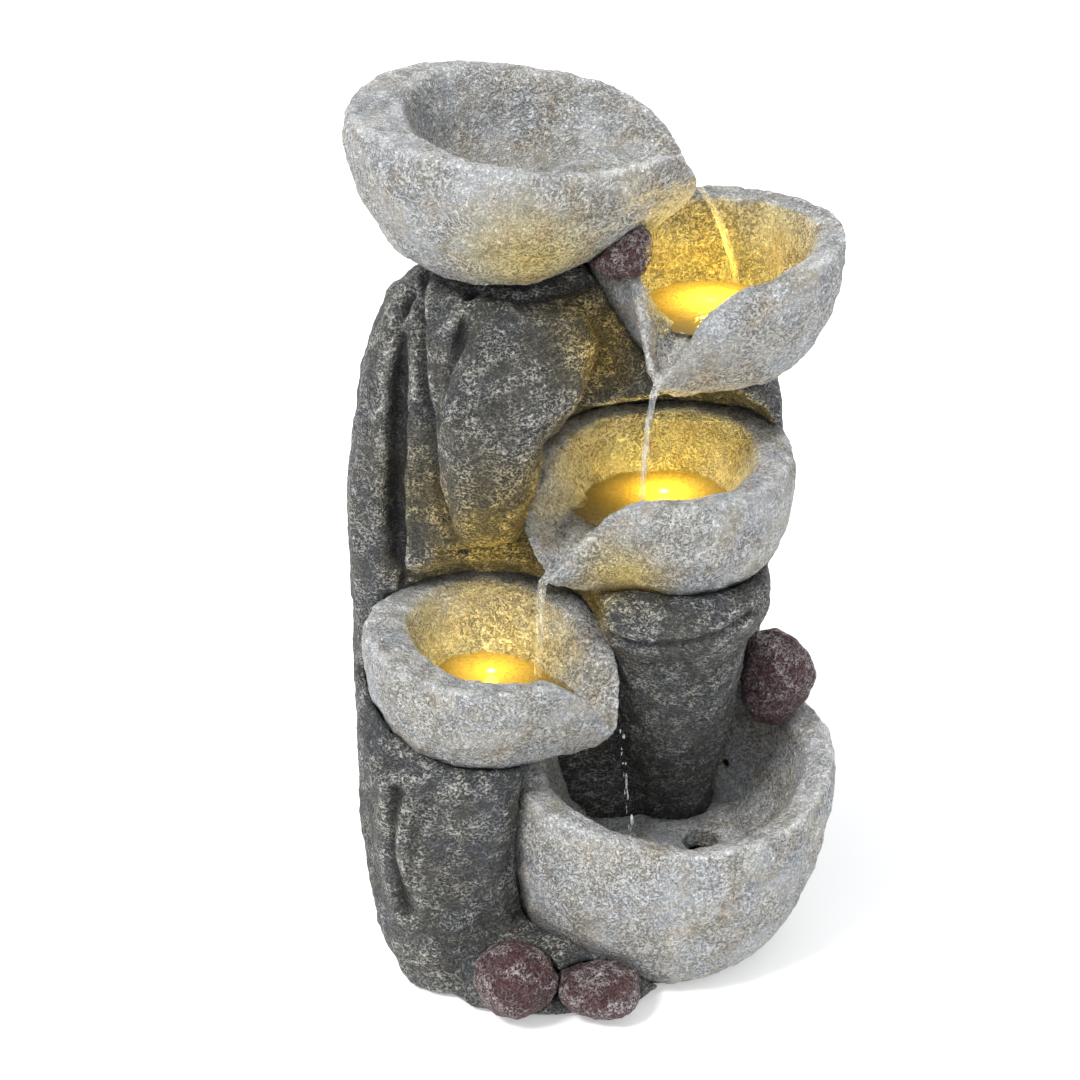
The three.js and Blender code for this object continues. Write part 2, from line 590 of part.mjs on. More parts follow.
function pumpCover() {
  const y = PUMP.y[1] + GAP;
  let plate = roundedBox([PUMP.x[0], PUMP.x[1]], [y, y + 3], PUMP.z, 1);
  plate = plate.subtract(alongY(IMPELLER_X, PUMP.axisZ, y - 1, y + 1.8, 1.35, 10));
  for (let i = 0; i < 6; i += 1) {
    const a = (i * Math.PI) / 3;
    const x = IMPELLER_X + 5 * Math.cos(a);
    plate = plate.subtract(alongY(x, PUMP.axisZ + 5 * Math.sin(a), y - 2, y + 6, 1.7, 10));
  }
  return plate;
}

// The strainer snaps over the cover and keeps the sponge in place.
function pumpStrainer() {
  const y0 = PUMP.y[1] + 3 + 2 * GAP;
  let cage = box([PUMP.x[0] + 1, PUMP.x[1] - 1], [y0, y0 + 15], [PUMP.z[0] + 1, PUMP.z[1] - 1]);
  cage = cage.subtract(box([PUMP.x[0] + 2.8, PUMP.x[1] - 2.8], [y0 - 2, y0 + 13.2],
    [PUMP.z[0] + 2.8, PUMP.z[1] - 2.8]));
  for (let i = 0; i < 6; i += 1) {
    const x = PUMP.x[0] + 5.4 + i * 5.4;
    cage = cage.subtract(box([x, x + 2.2], [y0 + 10, y0 + 20], [PUMP.z[0] + 5, PUMP.z[1] - 5]));
  }
  return cage;
}

function pumpSponge() {
  const y0 = PUMP.y[1] + 3 + 2 * GAP + 0.6;
  return box([PUMP.x[0] + 3.2, PUMP.x[1] - 3.2], [y0, y0 + 12],
    [PUMP.z[0] + 3.2, PUMP.z[1] - 3.2]);
}

function impeller() {
  let rotor = alongY(IMPELLER_X, PUMP.axisZ, 36, 52, 6.5, 18);
  rotor = rotor.add(alongY(IMPELLER_X, PUMP.axisZ, 51.5, 53.5, 8.4, 20));
  for (let i = 0; i < 5; i += 1) {
    const blade = new THREE.BoxGeometry(7.6, 7, 1.2);
    blade.translate(4.4, 56.5, 0).rotateY((i * 2 * Math.PI) / 5);
    rotor = rotor.add(solid(blade.translate(IMPELLER_X, 0, PUMP.axisZ)));
  }
  rotor = rotor.add(alongY(IMPELLER_X, PUMP.axisZ, 53, 60, 2.2, 12));
  return rotor.subtract(alongY(IMPELLER_X, PUMP.axisZ, 30, 64, 1.06, 10));
}

function impellerShaft() {
  return alongY(IMPELLER_X, PUMP.axisZ, 30, 65.8, 1, 10);
}

function flowDial() {
  const x = PUMP.x[1];
  const along = (x0, x1, r, n) => rod(new THREE.Vector3(x0, 44, 39), new THREE.Vector3(x1, 44, 39), r, n);
  const grip = box([x + 3, x + 5.4], [43.1, 44.9], [33.6, 44.4]);
  return union([along(x + GAP, x + 3.4, 6, 18), along(x - 4, x + 1, 2, 10), grip]);
}

function suctionCup([x, y]) {
  const profile = [[0, 13.2], [3, 13.4], [6.2, 12.35], [6.4, 12.9], [1.7, 16.7], [1.7, 20], [0, 20]];
  const cup = new THREE.LatheGeometry(profile.map(([r, z]) => new THREE.Vector2(r, z)), 10);
  return solid(cup.rotateX(Math.PI / 2).translate(x, y, 0));
}

// ---------- water path ----------
function riserHose() {
  const wall = upright(RISER.x, RISER.y, RISER.from, RISER.to, RISER.outer, 14);
  return wall.subtract(upright(RISER.x, RISER.y, RISER.from - 5, RISER.to + 5, RISER.inner, 14));
}

function hoseClamp() {
  const ring = upright(RISER.x, RISER.y, 56, 61, RISER.outer + 1.6, 18);
  const ear = box([RISER.x - 2, RISER.x + 2], [RISER.y + 6, RISER.y + 12], [56, 61]);
  return ring.add(ear).subtract(upright(RISER.x, RISER.y, 50, 70, RISER.outer + 0.3, 18));
}

function topOutlet() {
  const { floor, base } = BOWLS.top_bowl;
  const stem = upright(RISER.x, RISER.y, base - 22, floor + 6, 3.9, 14);
  const flange = upright(RISER.x, RISER.y, floor + 0.2, floor + 2.4, 8, 18);
  const nut = upright(RISER.x, RISER.y, base - 3.4, base - 0.4, 7, 6);
  return union([stem, flange, nut]).subtract(upright(RISER.x, RISER.y, base - 30, floor + 20, 2.7, 12));
}

function outletPocket() {
  const { floor, base } = BOWLS.top_bowl;
  const hole = upright(RISER.x, RISER.y, base - 5, floor + 2, 4.25, 14);
  return hole.add(upright(RISER.x, RISER.y, floor - 0.2, floor + 14, 8.4, 18));
}

// ---------- basin ----------
const PLUG = { from: [73, 40, 60], to: [71, 29, 64.5], radius: 2.3 };

function plugRod(radius, extra) {
  const from = cascadePoint(...PLUG.from);
  const to = cascadePoint(...PLUG.to);
  const reach = to.clone().sub(from).normalize().multiplyScalar(extra);
  return rod(from.clone().sub(reach), to.clone().add(reach), radius, 12);
}

function basin() {
  const drain = cascadePoint(...BASIN.drain.at, 0);
  let shape = basinSolid().subtract(coreRocks(GAP));
  shape = shape.subtract(box([28, 56], [-58, 60], [14, 38]));
  shape = shape.subtract(upright(drain.x, drain.y, 30, BASIN.floor + 6, BASIN.drain.radius, 20));
  shape = shape.subtract(bowlSeat(BOWLS.lower_bowl));
  shape = shape.subtract(stone(PEBBLES.pebble_right, GAP));
  shape = shape.subtract(stone(PEBBLES.pebble_front_large, GAP));
  shape = shape.subtract(stone(PEBBLES.pebble_front_small, GAP));
  return largest(shape);
}

// ---------- rear door ----------
function door() {
  const [x0, x1] = DOOR.x;
  const [z0, z1] = DOOR.z;
  const lap = DOOR.lap - GAP;
  const y0 = BACK_Y - DOOR.thickness - 1 + GAP;
  const y1 = y0 + DOOR.thickness;
  const [screwX, screwZ] = DOOR.screw;
  let panel = box([x0 - lap, x1 + lap], [y0, y1], [z0 - lap, z1 + lap]);
  panel = panel.add(box([screwX - 10.6, screwX + 10.6], [y0, y1], [z1, DOOR.tab[1] - GAP]));
  const rim = box([x0 + 0.5, x1 - 0.5], [y0 - 4, y0 + 1], [z0 + 0.5, z1 - 0.5]);
  panel = panel.add(rim.subtract(box([x0 + 2.5, x1 - 2.5], [y0 - 8, y0 - 0.01], [z0 + 2.5, z1 - 2.5])));
  for (let i = 0; i < 4; i += 1) {
    const z = z0 + 18 + i * 9;
    panel = panel.subtract(box([screwX - 22, screwX + 22], [y0 - 2, y1 + 2], [z, z + 3]));
  }
  return panel.subtract(alongY(screwX, screwZ, y0 - 2, y1 + 2, 2.4, 12));
}

function doorScrew() {
  const [x, z] = DOOR.screw;
  const knob = alongY(x, z, BACK_Y + 0.1, BACK_Y + 4.6, 6.5, 12);
  const slot = box([x - 8, x + 8], [BACK_Y + 3.4, BACK_Y + 6], [z - 0.8, z + 0.8]);
  return knob.subtract(slot).add(alongY(x, z, 86.5, BACK_Y + 1, 2, 12));
}

function doorInsert() {
  const [x, z] = DOOR.screw;
  return alongY(x, z, 84.6, 95.6, 4, 14).subtract(alongY(x, z, 85.6, 100, 2.35, 12));
}

function cordGland() {
  const { x, z, bore, hole } = CORD_GLAND;
  const sleeve = alongY(x, z, 93, BACK_Y + 1, hole - GAP, 16);
  const flange = alongY(x, z, BACK_Y + GAP, BACK_Y + 2.4, hole + 3, 18);
  return sleeve.add(flange).subtract(alongY(x, z, 80, BACK_Y + 20, bore, 14));
}

// ---------- assembly ----------
const largest = (shape) => shape.decompose().reduce((a, b) => (b.volume() > a.volume() ? b : a));

const fountain = new THREE.Group();
fountain.position.set(-ORIGIN_SHIFT[0], -ORIGIN_SHIFT[1], 0);
const group = new THREE.Group();
group.add(fountain);

function add(name, shape, [colour, roughness], metalness = 0) {
  const material = new THREE.MeshStandardMaterial({ color: colour, roughness, metalness });
  const mesh = new THREE.Mesh(geometryOf(shape), material);
  mesh.name = name;
  fountain.add(mesh);
}

function addCastings() {
  add('rock_column', largest(rockColumn()), COLOURS.rock);
  for (const [name, b] of Object.entries(BOWLS)) {
    const pocket = name === 'top_bowl' ? outletPocket() : lampPocket(name);
    let shape = bowl(b).subtract(pocket);
    if (name === 'upper_bowl') shape = shape.subtract(bowlSeat(BOWLS.top_bowl));
    add(name, largest(shape), COLOURS.bowl);
  }
  add('basin', basin().subtract(plugRod(PLUG.radius + GAP, 8)), COLOURS.bowl);
  const topPebble = stone(PEBBLES.pebble_top).subtract(bowlSeat(BOWLS.top_bowl));
  add('pebble_top', largest(topPebble.subtract(bowlSeat(BOWLS.upper_bowl))), COLOURS.pebble);
  add('pebble_right', stone(PEBBLES.pebble_right), COLOURS.pebble);
  add('pebble_front_large', stone(PEBBLES.pebble_front_large), COLOURS.pebble);
  const smallPebble = stone(PEBBLES.pebble_front_small);
  add('pebble_front_small', smallPebble.subtract(stone(PEBBLES.pebble_front_large, GAP)), COLOURS.pebble);
}

function addLamps() {
  for (const name of Object.keys(LED_SPOTS)) {
    const label = name.replace('_bowl', '');
    add(`lamp_${label}_housing`, lampHousing(name), COLOURS.trim);
    add(`lamp_${label}_lens`, lampLens(name), COLOURS.lens);
    add(`lamp_${label}_lead`, tubeAlong(leadRoute(name), LEAD_RADIUS, 3, 18), COLOURS.housing);
  }
  add('junction_box', junctionBox(), COLOURS.housing);
}

function addPump() {
  add('pump_housing', pumpHousing(), COLOURS.housing);
  add('pump_nozzle', pumpNozzle(), COLOURS.trim);
  add('pump_cover', pumpCover(), COLOURS.trim);
  add('pump_strainer', pumpStrainer(), COLOURS.housing);
  add('pump_sponge', pumpSponge(), COLOURS.sponge);
  add('pump_impeller', impeller(), COLOURS.blue);
  add('impeller_shaft', impellerShaft(), COLOURS.steel, 0.9);
  add('flow_dial', flowDial(), COLOURS.blue);
  CUP_SPOTS.forEach((spot, i) => add(`suction_cup_${i + 1}`, suctionCup(spot), COLOURS.rubber));
}

function addFittings() {
  add('riser_hose', riserHose(), COLOURS.hose);
  add('hose_clamp', hoseClamp(), COLOURS.steel, 0.9);
  add('top_outlet', topOutlet(), COLOURS.trim);
  add('basin_plug', plugRod(PLUG.radius, 0), COLOURS.rubber);
  add('door', door(), COLOURS.trim);
  add('door_thumbscrew', doorScrew(), COLOURS.housing);
  add('door_insert', doorInsert(), COLOURS.steel, 0.9);
  add('cord_gland', cordGland(), COLOURS.rubber);
  PADS.forEach(([x, y], i) => {
    add(`foot_pad_${i + 1}`, upright(x, y, 0, FLOOR_GAP - 0.3, 9, 14), COLOURS.rubber);
  });
}

addCastings();
addLamps();
addPump();
addFittings();

export default group;
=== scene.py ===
import json
import math

import bmesh
import bpy
import numpy as np
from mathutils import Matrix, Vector
from mathutils.bvhtree import BVHTree

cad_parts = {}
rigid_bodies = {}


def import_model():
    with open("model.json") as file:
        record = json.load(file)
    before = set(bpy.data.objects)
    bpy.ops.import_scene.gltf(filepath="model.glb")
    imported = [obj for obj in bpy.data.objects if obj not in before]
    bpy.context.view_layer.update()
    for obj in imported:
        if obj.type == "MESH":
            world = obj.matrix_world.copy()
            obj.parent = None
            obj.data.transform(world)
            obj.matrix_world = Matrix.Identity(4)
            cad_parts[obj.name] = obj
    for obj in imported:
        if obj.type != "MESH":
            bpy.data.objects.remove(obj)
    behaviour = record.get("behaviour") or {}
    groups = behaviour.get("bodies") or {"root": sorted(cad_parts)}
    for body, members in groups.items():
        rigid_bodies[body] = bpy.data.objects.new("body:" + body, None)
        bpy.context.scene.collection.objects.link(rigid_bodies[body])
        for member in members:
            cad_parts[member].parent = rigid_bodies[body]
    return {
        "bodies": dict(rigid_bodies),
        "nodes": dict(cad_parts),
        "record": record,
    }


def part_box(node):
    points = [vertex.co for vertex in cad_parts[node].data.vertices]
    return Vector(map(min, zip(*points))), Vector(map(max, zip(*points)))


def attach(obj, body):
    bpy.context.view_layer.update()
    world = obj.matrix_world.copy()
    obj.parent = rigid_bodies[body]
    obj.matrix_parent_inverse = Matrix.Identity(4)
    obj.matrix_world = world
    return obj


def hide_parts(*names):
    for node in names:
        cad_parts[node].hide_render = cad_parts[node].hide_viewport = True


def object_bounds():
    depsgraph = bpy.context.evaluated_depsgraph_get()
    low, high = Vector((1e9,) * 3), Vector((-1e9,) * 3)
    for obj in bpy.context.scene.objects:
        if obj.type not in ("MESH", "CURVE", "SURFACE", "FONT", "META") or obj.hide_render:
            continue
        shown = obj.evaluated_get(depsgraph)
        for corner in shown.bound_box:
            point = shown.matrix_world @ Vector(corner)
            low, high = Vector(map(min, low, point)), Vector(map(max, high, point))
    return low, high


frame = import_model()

MM = 0.001
cad_box = [list(corner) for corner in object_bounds()]
nodes = frame["nodes"]
ROOT = "fountain"
SLOTS = {part["node"]: part["material_slot"] for part in frame["record"]["subparts"]}

# The bowl that holds each lamp, and the middle of each lamp's lens.
LAMPS = {"upper": "upper_bowl", "middle": "middle_bowl", "lower": "lower_bowl"}


def middle_of(node):
    low, high = (np.array(corner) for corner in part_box(node))
    return (low + high) / 2.0


LAMP_CENTRES = {key: middle_of("lamp_" + key + "_lens") for key in LAMPS}
OUTLET_CENTRE = middle_of("top_outlet")


def add_object(name, data):
    obj = bpy.data.objects.new(name, data)
    bpy.context.collection.objects.link(obj)
    return obj


# ---------------------------------------------------------------- camera and light

VIEW_AZIMUTH = -25.0       # degrees, from the front towards the left
VIEW_ELEVATION = 27.0
VIEW_DISTANCE = 1.480      # metres
VIEW_TARGET = Vector((-0.0283, 0.0054, 0.208))
VIEW_LENS = 101.0          # mm
SENSOR_WIDTH = 36.0
VIEW_RANGE = (0.02, 60.0)  # metres

GLOW_SIZE = 0.004          # metres
BEAM_SIZE = 0.002
BEAM_CONE = 110.0          # degrees
GLOW_HEIGHT = 0.018        # metres above the lens
BEAM_HEIGHT = 0.006
GLOW_COLOUR = (1.0, 0.73, 0.13)
BEAM_COLOUR = (1.0, 0.68, 0.06)
GLOWS = {"upper": 0.080, "middle": 0.080, "lower": 0.045}  # watts
BEAMS = {"upper": 0.13, "middle": 0.06, "lower": 0.08}


def direction(azimuth, elevation):
    """Unit vector from the object towards a viewer or a light at those angles, in degrees."""
    a, e = math.radians(azimuth), math.radians(elevation)
    return Vector((math.sin(a) * math.cos(e), -math.cos(a) * math.cos(e), math.sin(e)))


def aim(obj, towards):
    """Turns a camera or a light so that it looks along -towards."""
    obj.rotation_euler = towards.to_track_quat("Z", "Y").to_euler()


def make_camera():
    data = bpy.data.cameras.new("camera")
    data.lens = VIEW_LENS
    data.sensor_width = SENSOR_WIDTH
    data.clip_start, data.clip_end = VIEW_RANGE
    camera = add_object("camera", data)
    back = direction(VIEW_AZIMUTH, VIEW_ELEVATION)
    camera.location = VIEW_TARGET + back * VIEW_DISTANCE
    aim(camera, back)
    bpy.context.scene.camera = camera


def light(name, kind, energy, colour):
    data = bpy.data.lights.new(name, kind)
    data.energy = energy
    data.color = colour
    return add_object(name, data)


def sun(name, azimuth, elevation, strength, softness, colour):
    made = light(name, "SUN", strength, colour)
    made.data.angle = math.radians(softness)
    aim(made, direction(azimuth, elevation))


def above_lens(made, key, height):
    """Puts a light over the lens of a lamp, riding on the fountain."""
    centre = LAMP_CENTRES[key]
    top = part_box("lamp_" + key + "_lens")[1][2]
    made.location = (centre[0], centre[1], top + height)
    made.parent = frame["bodies"][ROOT]


def lamp_glow(key):
    """The light that spreads from the water over a lamp."""
    made = light("light_" + key, "POINT", GLOWS[key], GLOW_COLOUR)
    made.data.shadow_soft_size = GLOW_SIZE
    above_lens(made, key, GLOW_HEIGHT)


def lamp_beam(key):
    """The upward beam of a lamp."""
    made = light("beam_" + key, "SPOT", BEAMS[key], BEAM_COLOUR)
    made.data.spot_size = math.radians(BEAM_CONE)
    made.data.spot_blend = 1.0
    made.data.shadow_soft_size = BEAM_SIZE
    made.rotation_euler = (math.pi, 0.0, 0.0)
    above_lens(made, key, BEAM_HEIGHT)


def make_studio():
    scene = bpy.context.scene
    scene.view_settings.view_transform = "Standard"
    scene.view_settings.look = "None"
    world = bpy.data.worlds.new("studio")
    world.use_nodes = True
    background = world.node_tree.nodes["Background"]
    background.inputs["Color"].default_value = (0.97, 0.985, 1.0, 1.0)
    background.inputs["Strength"].default_value = 0.86
    scene.world = world
    sun("key", azimuth=-72.0, elevation=50.0, strength=2.3, softness=14.0, colour=(1.0, 0.985, 0.96))
    sun("fill", azimuth=20.0, elevation=25.0, strength=0.35, softness=50.0, colour=(0.96, 0.98, 1.0))


# ---------------------------------------------------------------- noise on points

LOW_BITS = np.int64(0xFFFFFFFF)


def scramble(cell, seed):
    """One pseudo-random whole number for each whole-number cell, mixed with large odd multipliers."""
    h = cell[:, 0] * 73856093 ^ cell[:, 1] * 19349663 ^ cell[:, 2] * 83492791 ^ seed * 1013904223
    h = h & LOW_BITS
    h = ((h ^ (h >> 15)) * 0x2C1B3C6D) & LOW_BITS
    h = ((h ^ (h >> 12)) * 0x297A2D39) & LOW_BITS
    return h ^ (h >> 15)


def three_values(cell, seed):
    """Three numbers from 0 to 1 for each cell."""
    h = scramble(cell, seed)
    return np.stack([(h >> s) & 1023 for s in (0, 10, 20)], axis=1) / 1023.0


def noise(points, size, seed=0):
    """Gradient noise of about -1 to 1 with features of that size; size is a number or one for each axis."""
    p = points / np.asarray(size, float)
    cell = np.floor(p).astype(np.int64)
    f = p - cell
    u = f * f * f * (f * (f * 6.0 - 15.0) + 10.0)
    total = np.zeros(len(p))
    for corner in np.ndindex(2, 2, 2):
        c = np.array(corner)
        slope = three_values(cell + c, seed) * 2.0 - 1.0
        weight = np.prod(np.where(c, u, 1.0 - u), axis=1)
        total += weight * np.sum(slope * (f - c), axis=1)
    return total * 1.6


def layered(points, size, octaves, seed=0):
    """Several sizes of noise on top of each other."""
    size = np.asarray(size, float)
    total, share = np.zeros(len(points)), 1.0
    for k in range(octaves):
        total += share * noise(points, size / 2.0 ** k, seed + 7 * k)
        share *= 0.5
    return total


def dents(points, size, seed=0):
    """Distance to the nearest of scattered points, in sizes: 0 at the bottom of each dent."""
    p = points / np.asarray(size, float)
    cell = np.floor(p).astype(np.int64)
    nearest = np.full(len(p), 9.0)
    for step in np.ndindex(3, 3, 3):
        here = cell + np.array(step) - 1
        nearest = np.minimum(nearest, np.linalg.norm(here + three_values(here, seed) - p, axis=1))
    return nearest


# ---------------------------------------------------------------- meshes

def vectors(collection, field):
    """The x, y, z field of every item of a Blender collection, as rows."""
    flat = np.empty(len(collection) * 3)
    collection.foreach_get(field, flat)
    return flat.reshape(-1, 3)


def place(mesh, points):
    mesh.vertices.foreach_set("co", points.ravel())
    mesh.update()


class Blur:
    """Averages values over the neighbours of each vertex of a mesh."""

    def __init__(self, mesh):
        flat = np.empty(len(mesh.edges) * 2, dtype=np.int64)
        mesh.edges.foreach_get("vertices", flat)
        pairs = flat.reshape(-1, 2)
        self.a = np.concatenate([pairs[:, 0], pairs[:, 1]])
        self.b = np.concatenate([pairs[:, 1], pairs[:, 0]])
        self.count = len(mesh.vertices)
        self.degree = np.maximum(np.bincount(self.a, minlength=self.count), 1)

    def once(self, values):
        if values.ndim == 1:
            return np.bincount(self.a, values[self.b], self.count) / self.degree
        return np.stack([self.once(values[:, k]) for k in range(values.shape[1])], axis=1)

    def run(self, values, times):
        for _ in range(times):
            values = values + 0.5 * (self.once(values) - values)
        return values


def attribute(mesh, name, values):
    layer = mesh.attributes.new(name, "FLOAT", "POINT")
    layer.data.foreach_set("value", np.asarray(values, np.float32))


def tree_of(obj):
    return BVHTree.FromObject(obj, bpy.context.evaluated_depsgraph_get())


def nearness(points, trees, reach):
    """1 where a point touches one of the trees' surfaces, falling to 0 at reach."""
    out = np.zeros(len(points))
    for tree in trees:
        for k, p in enumerate(points):
            apart = tree.find_nearest(Vector(p), reach)[3]
            if apart is not None:
                out[k] = max(out[k], 1.0 - apart / reach)
    return out


def remeshed(node, voxel):
    """A new object with the node's shape in small even faces."""
    obj = add_object(node + "_cast", nodes[node].data.copy())
    change = obj.modifiers.new("even", "REMESH")
    change.mode = "VOXEL"
    change.voxel_size = voxel
    change.use_smooth_shade = True
    view = bpy.context.evaluated_depsgraph_get()
    fine = bpy.data.meshes.new_from_object(obj.evaluated_get(view))
    obj.modifiers.clear()
    obj.data = fine
    fine.materials.clear()
    return obj


def finished_mesh(name, shape):
    """Turns a bmesh into a smooth mesh."""
    mesh = bpy.data.meshes.new(name)
    shape.to_mesh(mesh)
    shape.free()
    mesh.polygons.foreach_set("use_smooth", [True] * len(mesh.polygons))
    return mesh


def skin(name, rings):
    """A closed skin through rings of points, each ring with the same count."""
    shape = bmesh.new()
    rows = [[shape.verts.new(p) for p in ring] for ring in rings]
    count = len(rows[0])
    for a, b in zip(rows[:-1], rows[1:]):
        for k in range(count):
            shape.faces.new((a[k], a[(k + 1) % count], b[(k + 1) % count], b[k]))
    shape.faces.new(list(reversed(rows[0])))
    shape.faces.new(rows[-1])
    bmesh.ops.recalc_face_normals(shape, faces=shape.faces)
    return finished_mesh(name, shape)


# ---------------------------------------------------------------- materials

class Shader:
    """A material built from nodes, with short calls for the ones used here."""

    def __init__(self, name):
        self.material = bpy.data.materials.new(name)
        self.material.use_nodes = True
        self.tree = self.material.node_tree
        self.surface = self.tree.nodes["Principled BSDF"]
        self.place = self.add("ShaderNodeTexCoord").outputs["Object"]

    def add(self, kind, links=(), **settings):
        node = self.tree.nodes.new(kind)
        for key, value in settings.items():
            setattr(node, key, value)
        for key, value in dict(links).items():
            self.put(node.inputs[key], value)
        return node

    def put(self, socket, value):
        if isinstance(value, bpy.types.NodeSocket):
            self.tree.links.new(value, socket)
        else:
            socket.default_value = value

    def set(self, **values):
        for key, value in values.items():
            self.put(self.surface.inputs[key.replace("_", " ")], value)

    def stretched(self, x, y, z, shift=(0.0, 0.0, 0.0)):
        return self.add("ShaderNodeMapping", {
            "Vector": self.place, "Scale": (x, y, z), "Location": shift}).outputs[0]

    def noise(self, size_mm, detail=3.0, roughness=0.6, distortion=0.0, vector=None):
        made = self.add("ShaderNodeTexNoise", {
            "Vector": vector or self.place, "Scale": 1.0 / (size_mm * MM), "Detail": detail,
            "Roughness": roughness, "Distortion": distortion})
        return made.outputs["Fac"]

    def cells(self, size_mm):
        made = self.add("ShaderNodeTexVoronoi", {
            "Vector": self.place, "Scale": 1.0 / (size_mm * MM)}, feature="F1")
        return made.outputs["Distance"]

    def value(self, name):
        return self.add("ShaderNodeAttribute", attribute_name=name).outputs["Fac"]

    def span(self, value, low, high, to_low=0.0, to_high=1.0):
        """Goes smoothly from to_low to to_high while value goes from low to high."""
        made = self.add("ShaderNodeMapRange", {
            "Value": value, "From Min": low, "From Max": high, "To Min": to_low, "To Max": to_high})
        made.interpolation_type = "SMOOTHSTEP"
        return made.outputs[0]

    def math(self, operation, a, b=0.0):
        made = self.add("ShaderNodeMath", operation=operation)
        self.put(made.inputs[0], a)
        self.put(made.inputs[1], b)
        return made.outputs[0]

    def plus(self, a, b):
        return self.math("ADD", a, b)

    def times(self, a, b):
        return self.math("MULTIPLY", a, b)

    def mix(self, share, a, b):
        made = self.add("ShaderNodeMix", data_type="RGBA")
        self.put(made.inputs[0], share)
        self.put(made.inputs[6], a if isinstance(a, bpy.types.NodeSocket) else (*a, 1.0))
        self.put(made.inputs[7], b if isinstance(b, bpy.types.NodeSocket) else (*b, 1.0))
        return made.outputs[2]

    def tinted(self, colour, tint):
        made = self.add("ShaderNodeMix", {0: 1.0}, data_type="RGBA", blend_type="MULTIPLY")
        self.put(made.inputs[6], colour)
        self.put(made.inputs[7], (*tint, 1.0))
        return made.outputs[2]

    def bump(self, height, depth_mm, strength=1.0):
        links = {"Height": height, "Distance": depth_mm * MM, "Strength": strength}
        return self.add("ShaderNodeBump", links).outputs[0]

    def radial(self, centre, reach_mm):
        """1 at a point, in metres, falling to 0 at reach."""
        apart = self.add("ShaderNodeVectorMath", operation="DISTANCE")
        self.put(apart.inputs[0], self.place)
        apart.inputs[1].default_value = centre
        return self.span(apart.outputs["Value"], reach_mm * MM, 0.0)


def ridges(s, size_mm, width, vector):
    """1 along fine wandering lines, falling to 0 beside them."""
    off = s.math("SUBTRACT", s.noise(size_mm, 1.5, 0.5, 0.9, vector), 0.5)
    return s.span(s.math("ABSOLUTE", off), width, 0.0)


def crossed_ridges(s, wide_mm, fine_mm, width, vector):
    """Ridges of two sizes, the finer ones a little weaker."""
    fine = s.times(ridges(s, fine_mm, width, vector), 0.9)
    return s.math("MAXIMUM", ridges(s, wide_mm, width, vector), fine)


def paint_lamp_light(s, colour, painted_lamp_light):
    """Paints the lamps' light into the stone: a painted tint near the lamps, painted light.

    Each entry: centre, reach in mm, share, tint, and whether only the inside of a bowl takes it."""
    for centre, reach_mm, share, tint, inside_only in painted_lamp_light:
        near = s.times(s.math("POWER", s.radial(centre, reach_mm), 0.8), share)
        if inside_only:
            near = s.times(near, s.value("inner"))
        colour = s.mix(near, colour, s.tinted(colour, tint))
    return colour


def lamp_spills(s, spills):
    """How strongly the lamps' light shows on the stone; spills: centre, reach in mm, strength."""
    total = 0.0
    for centre, reach_mm, strength in spills:
        near = s.times(s.math("POWER", s.radial(centre, reach_mm), 1.5), strength)
        total = s.plus(near, total)
    return total


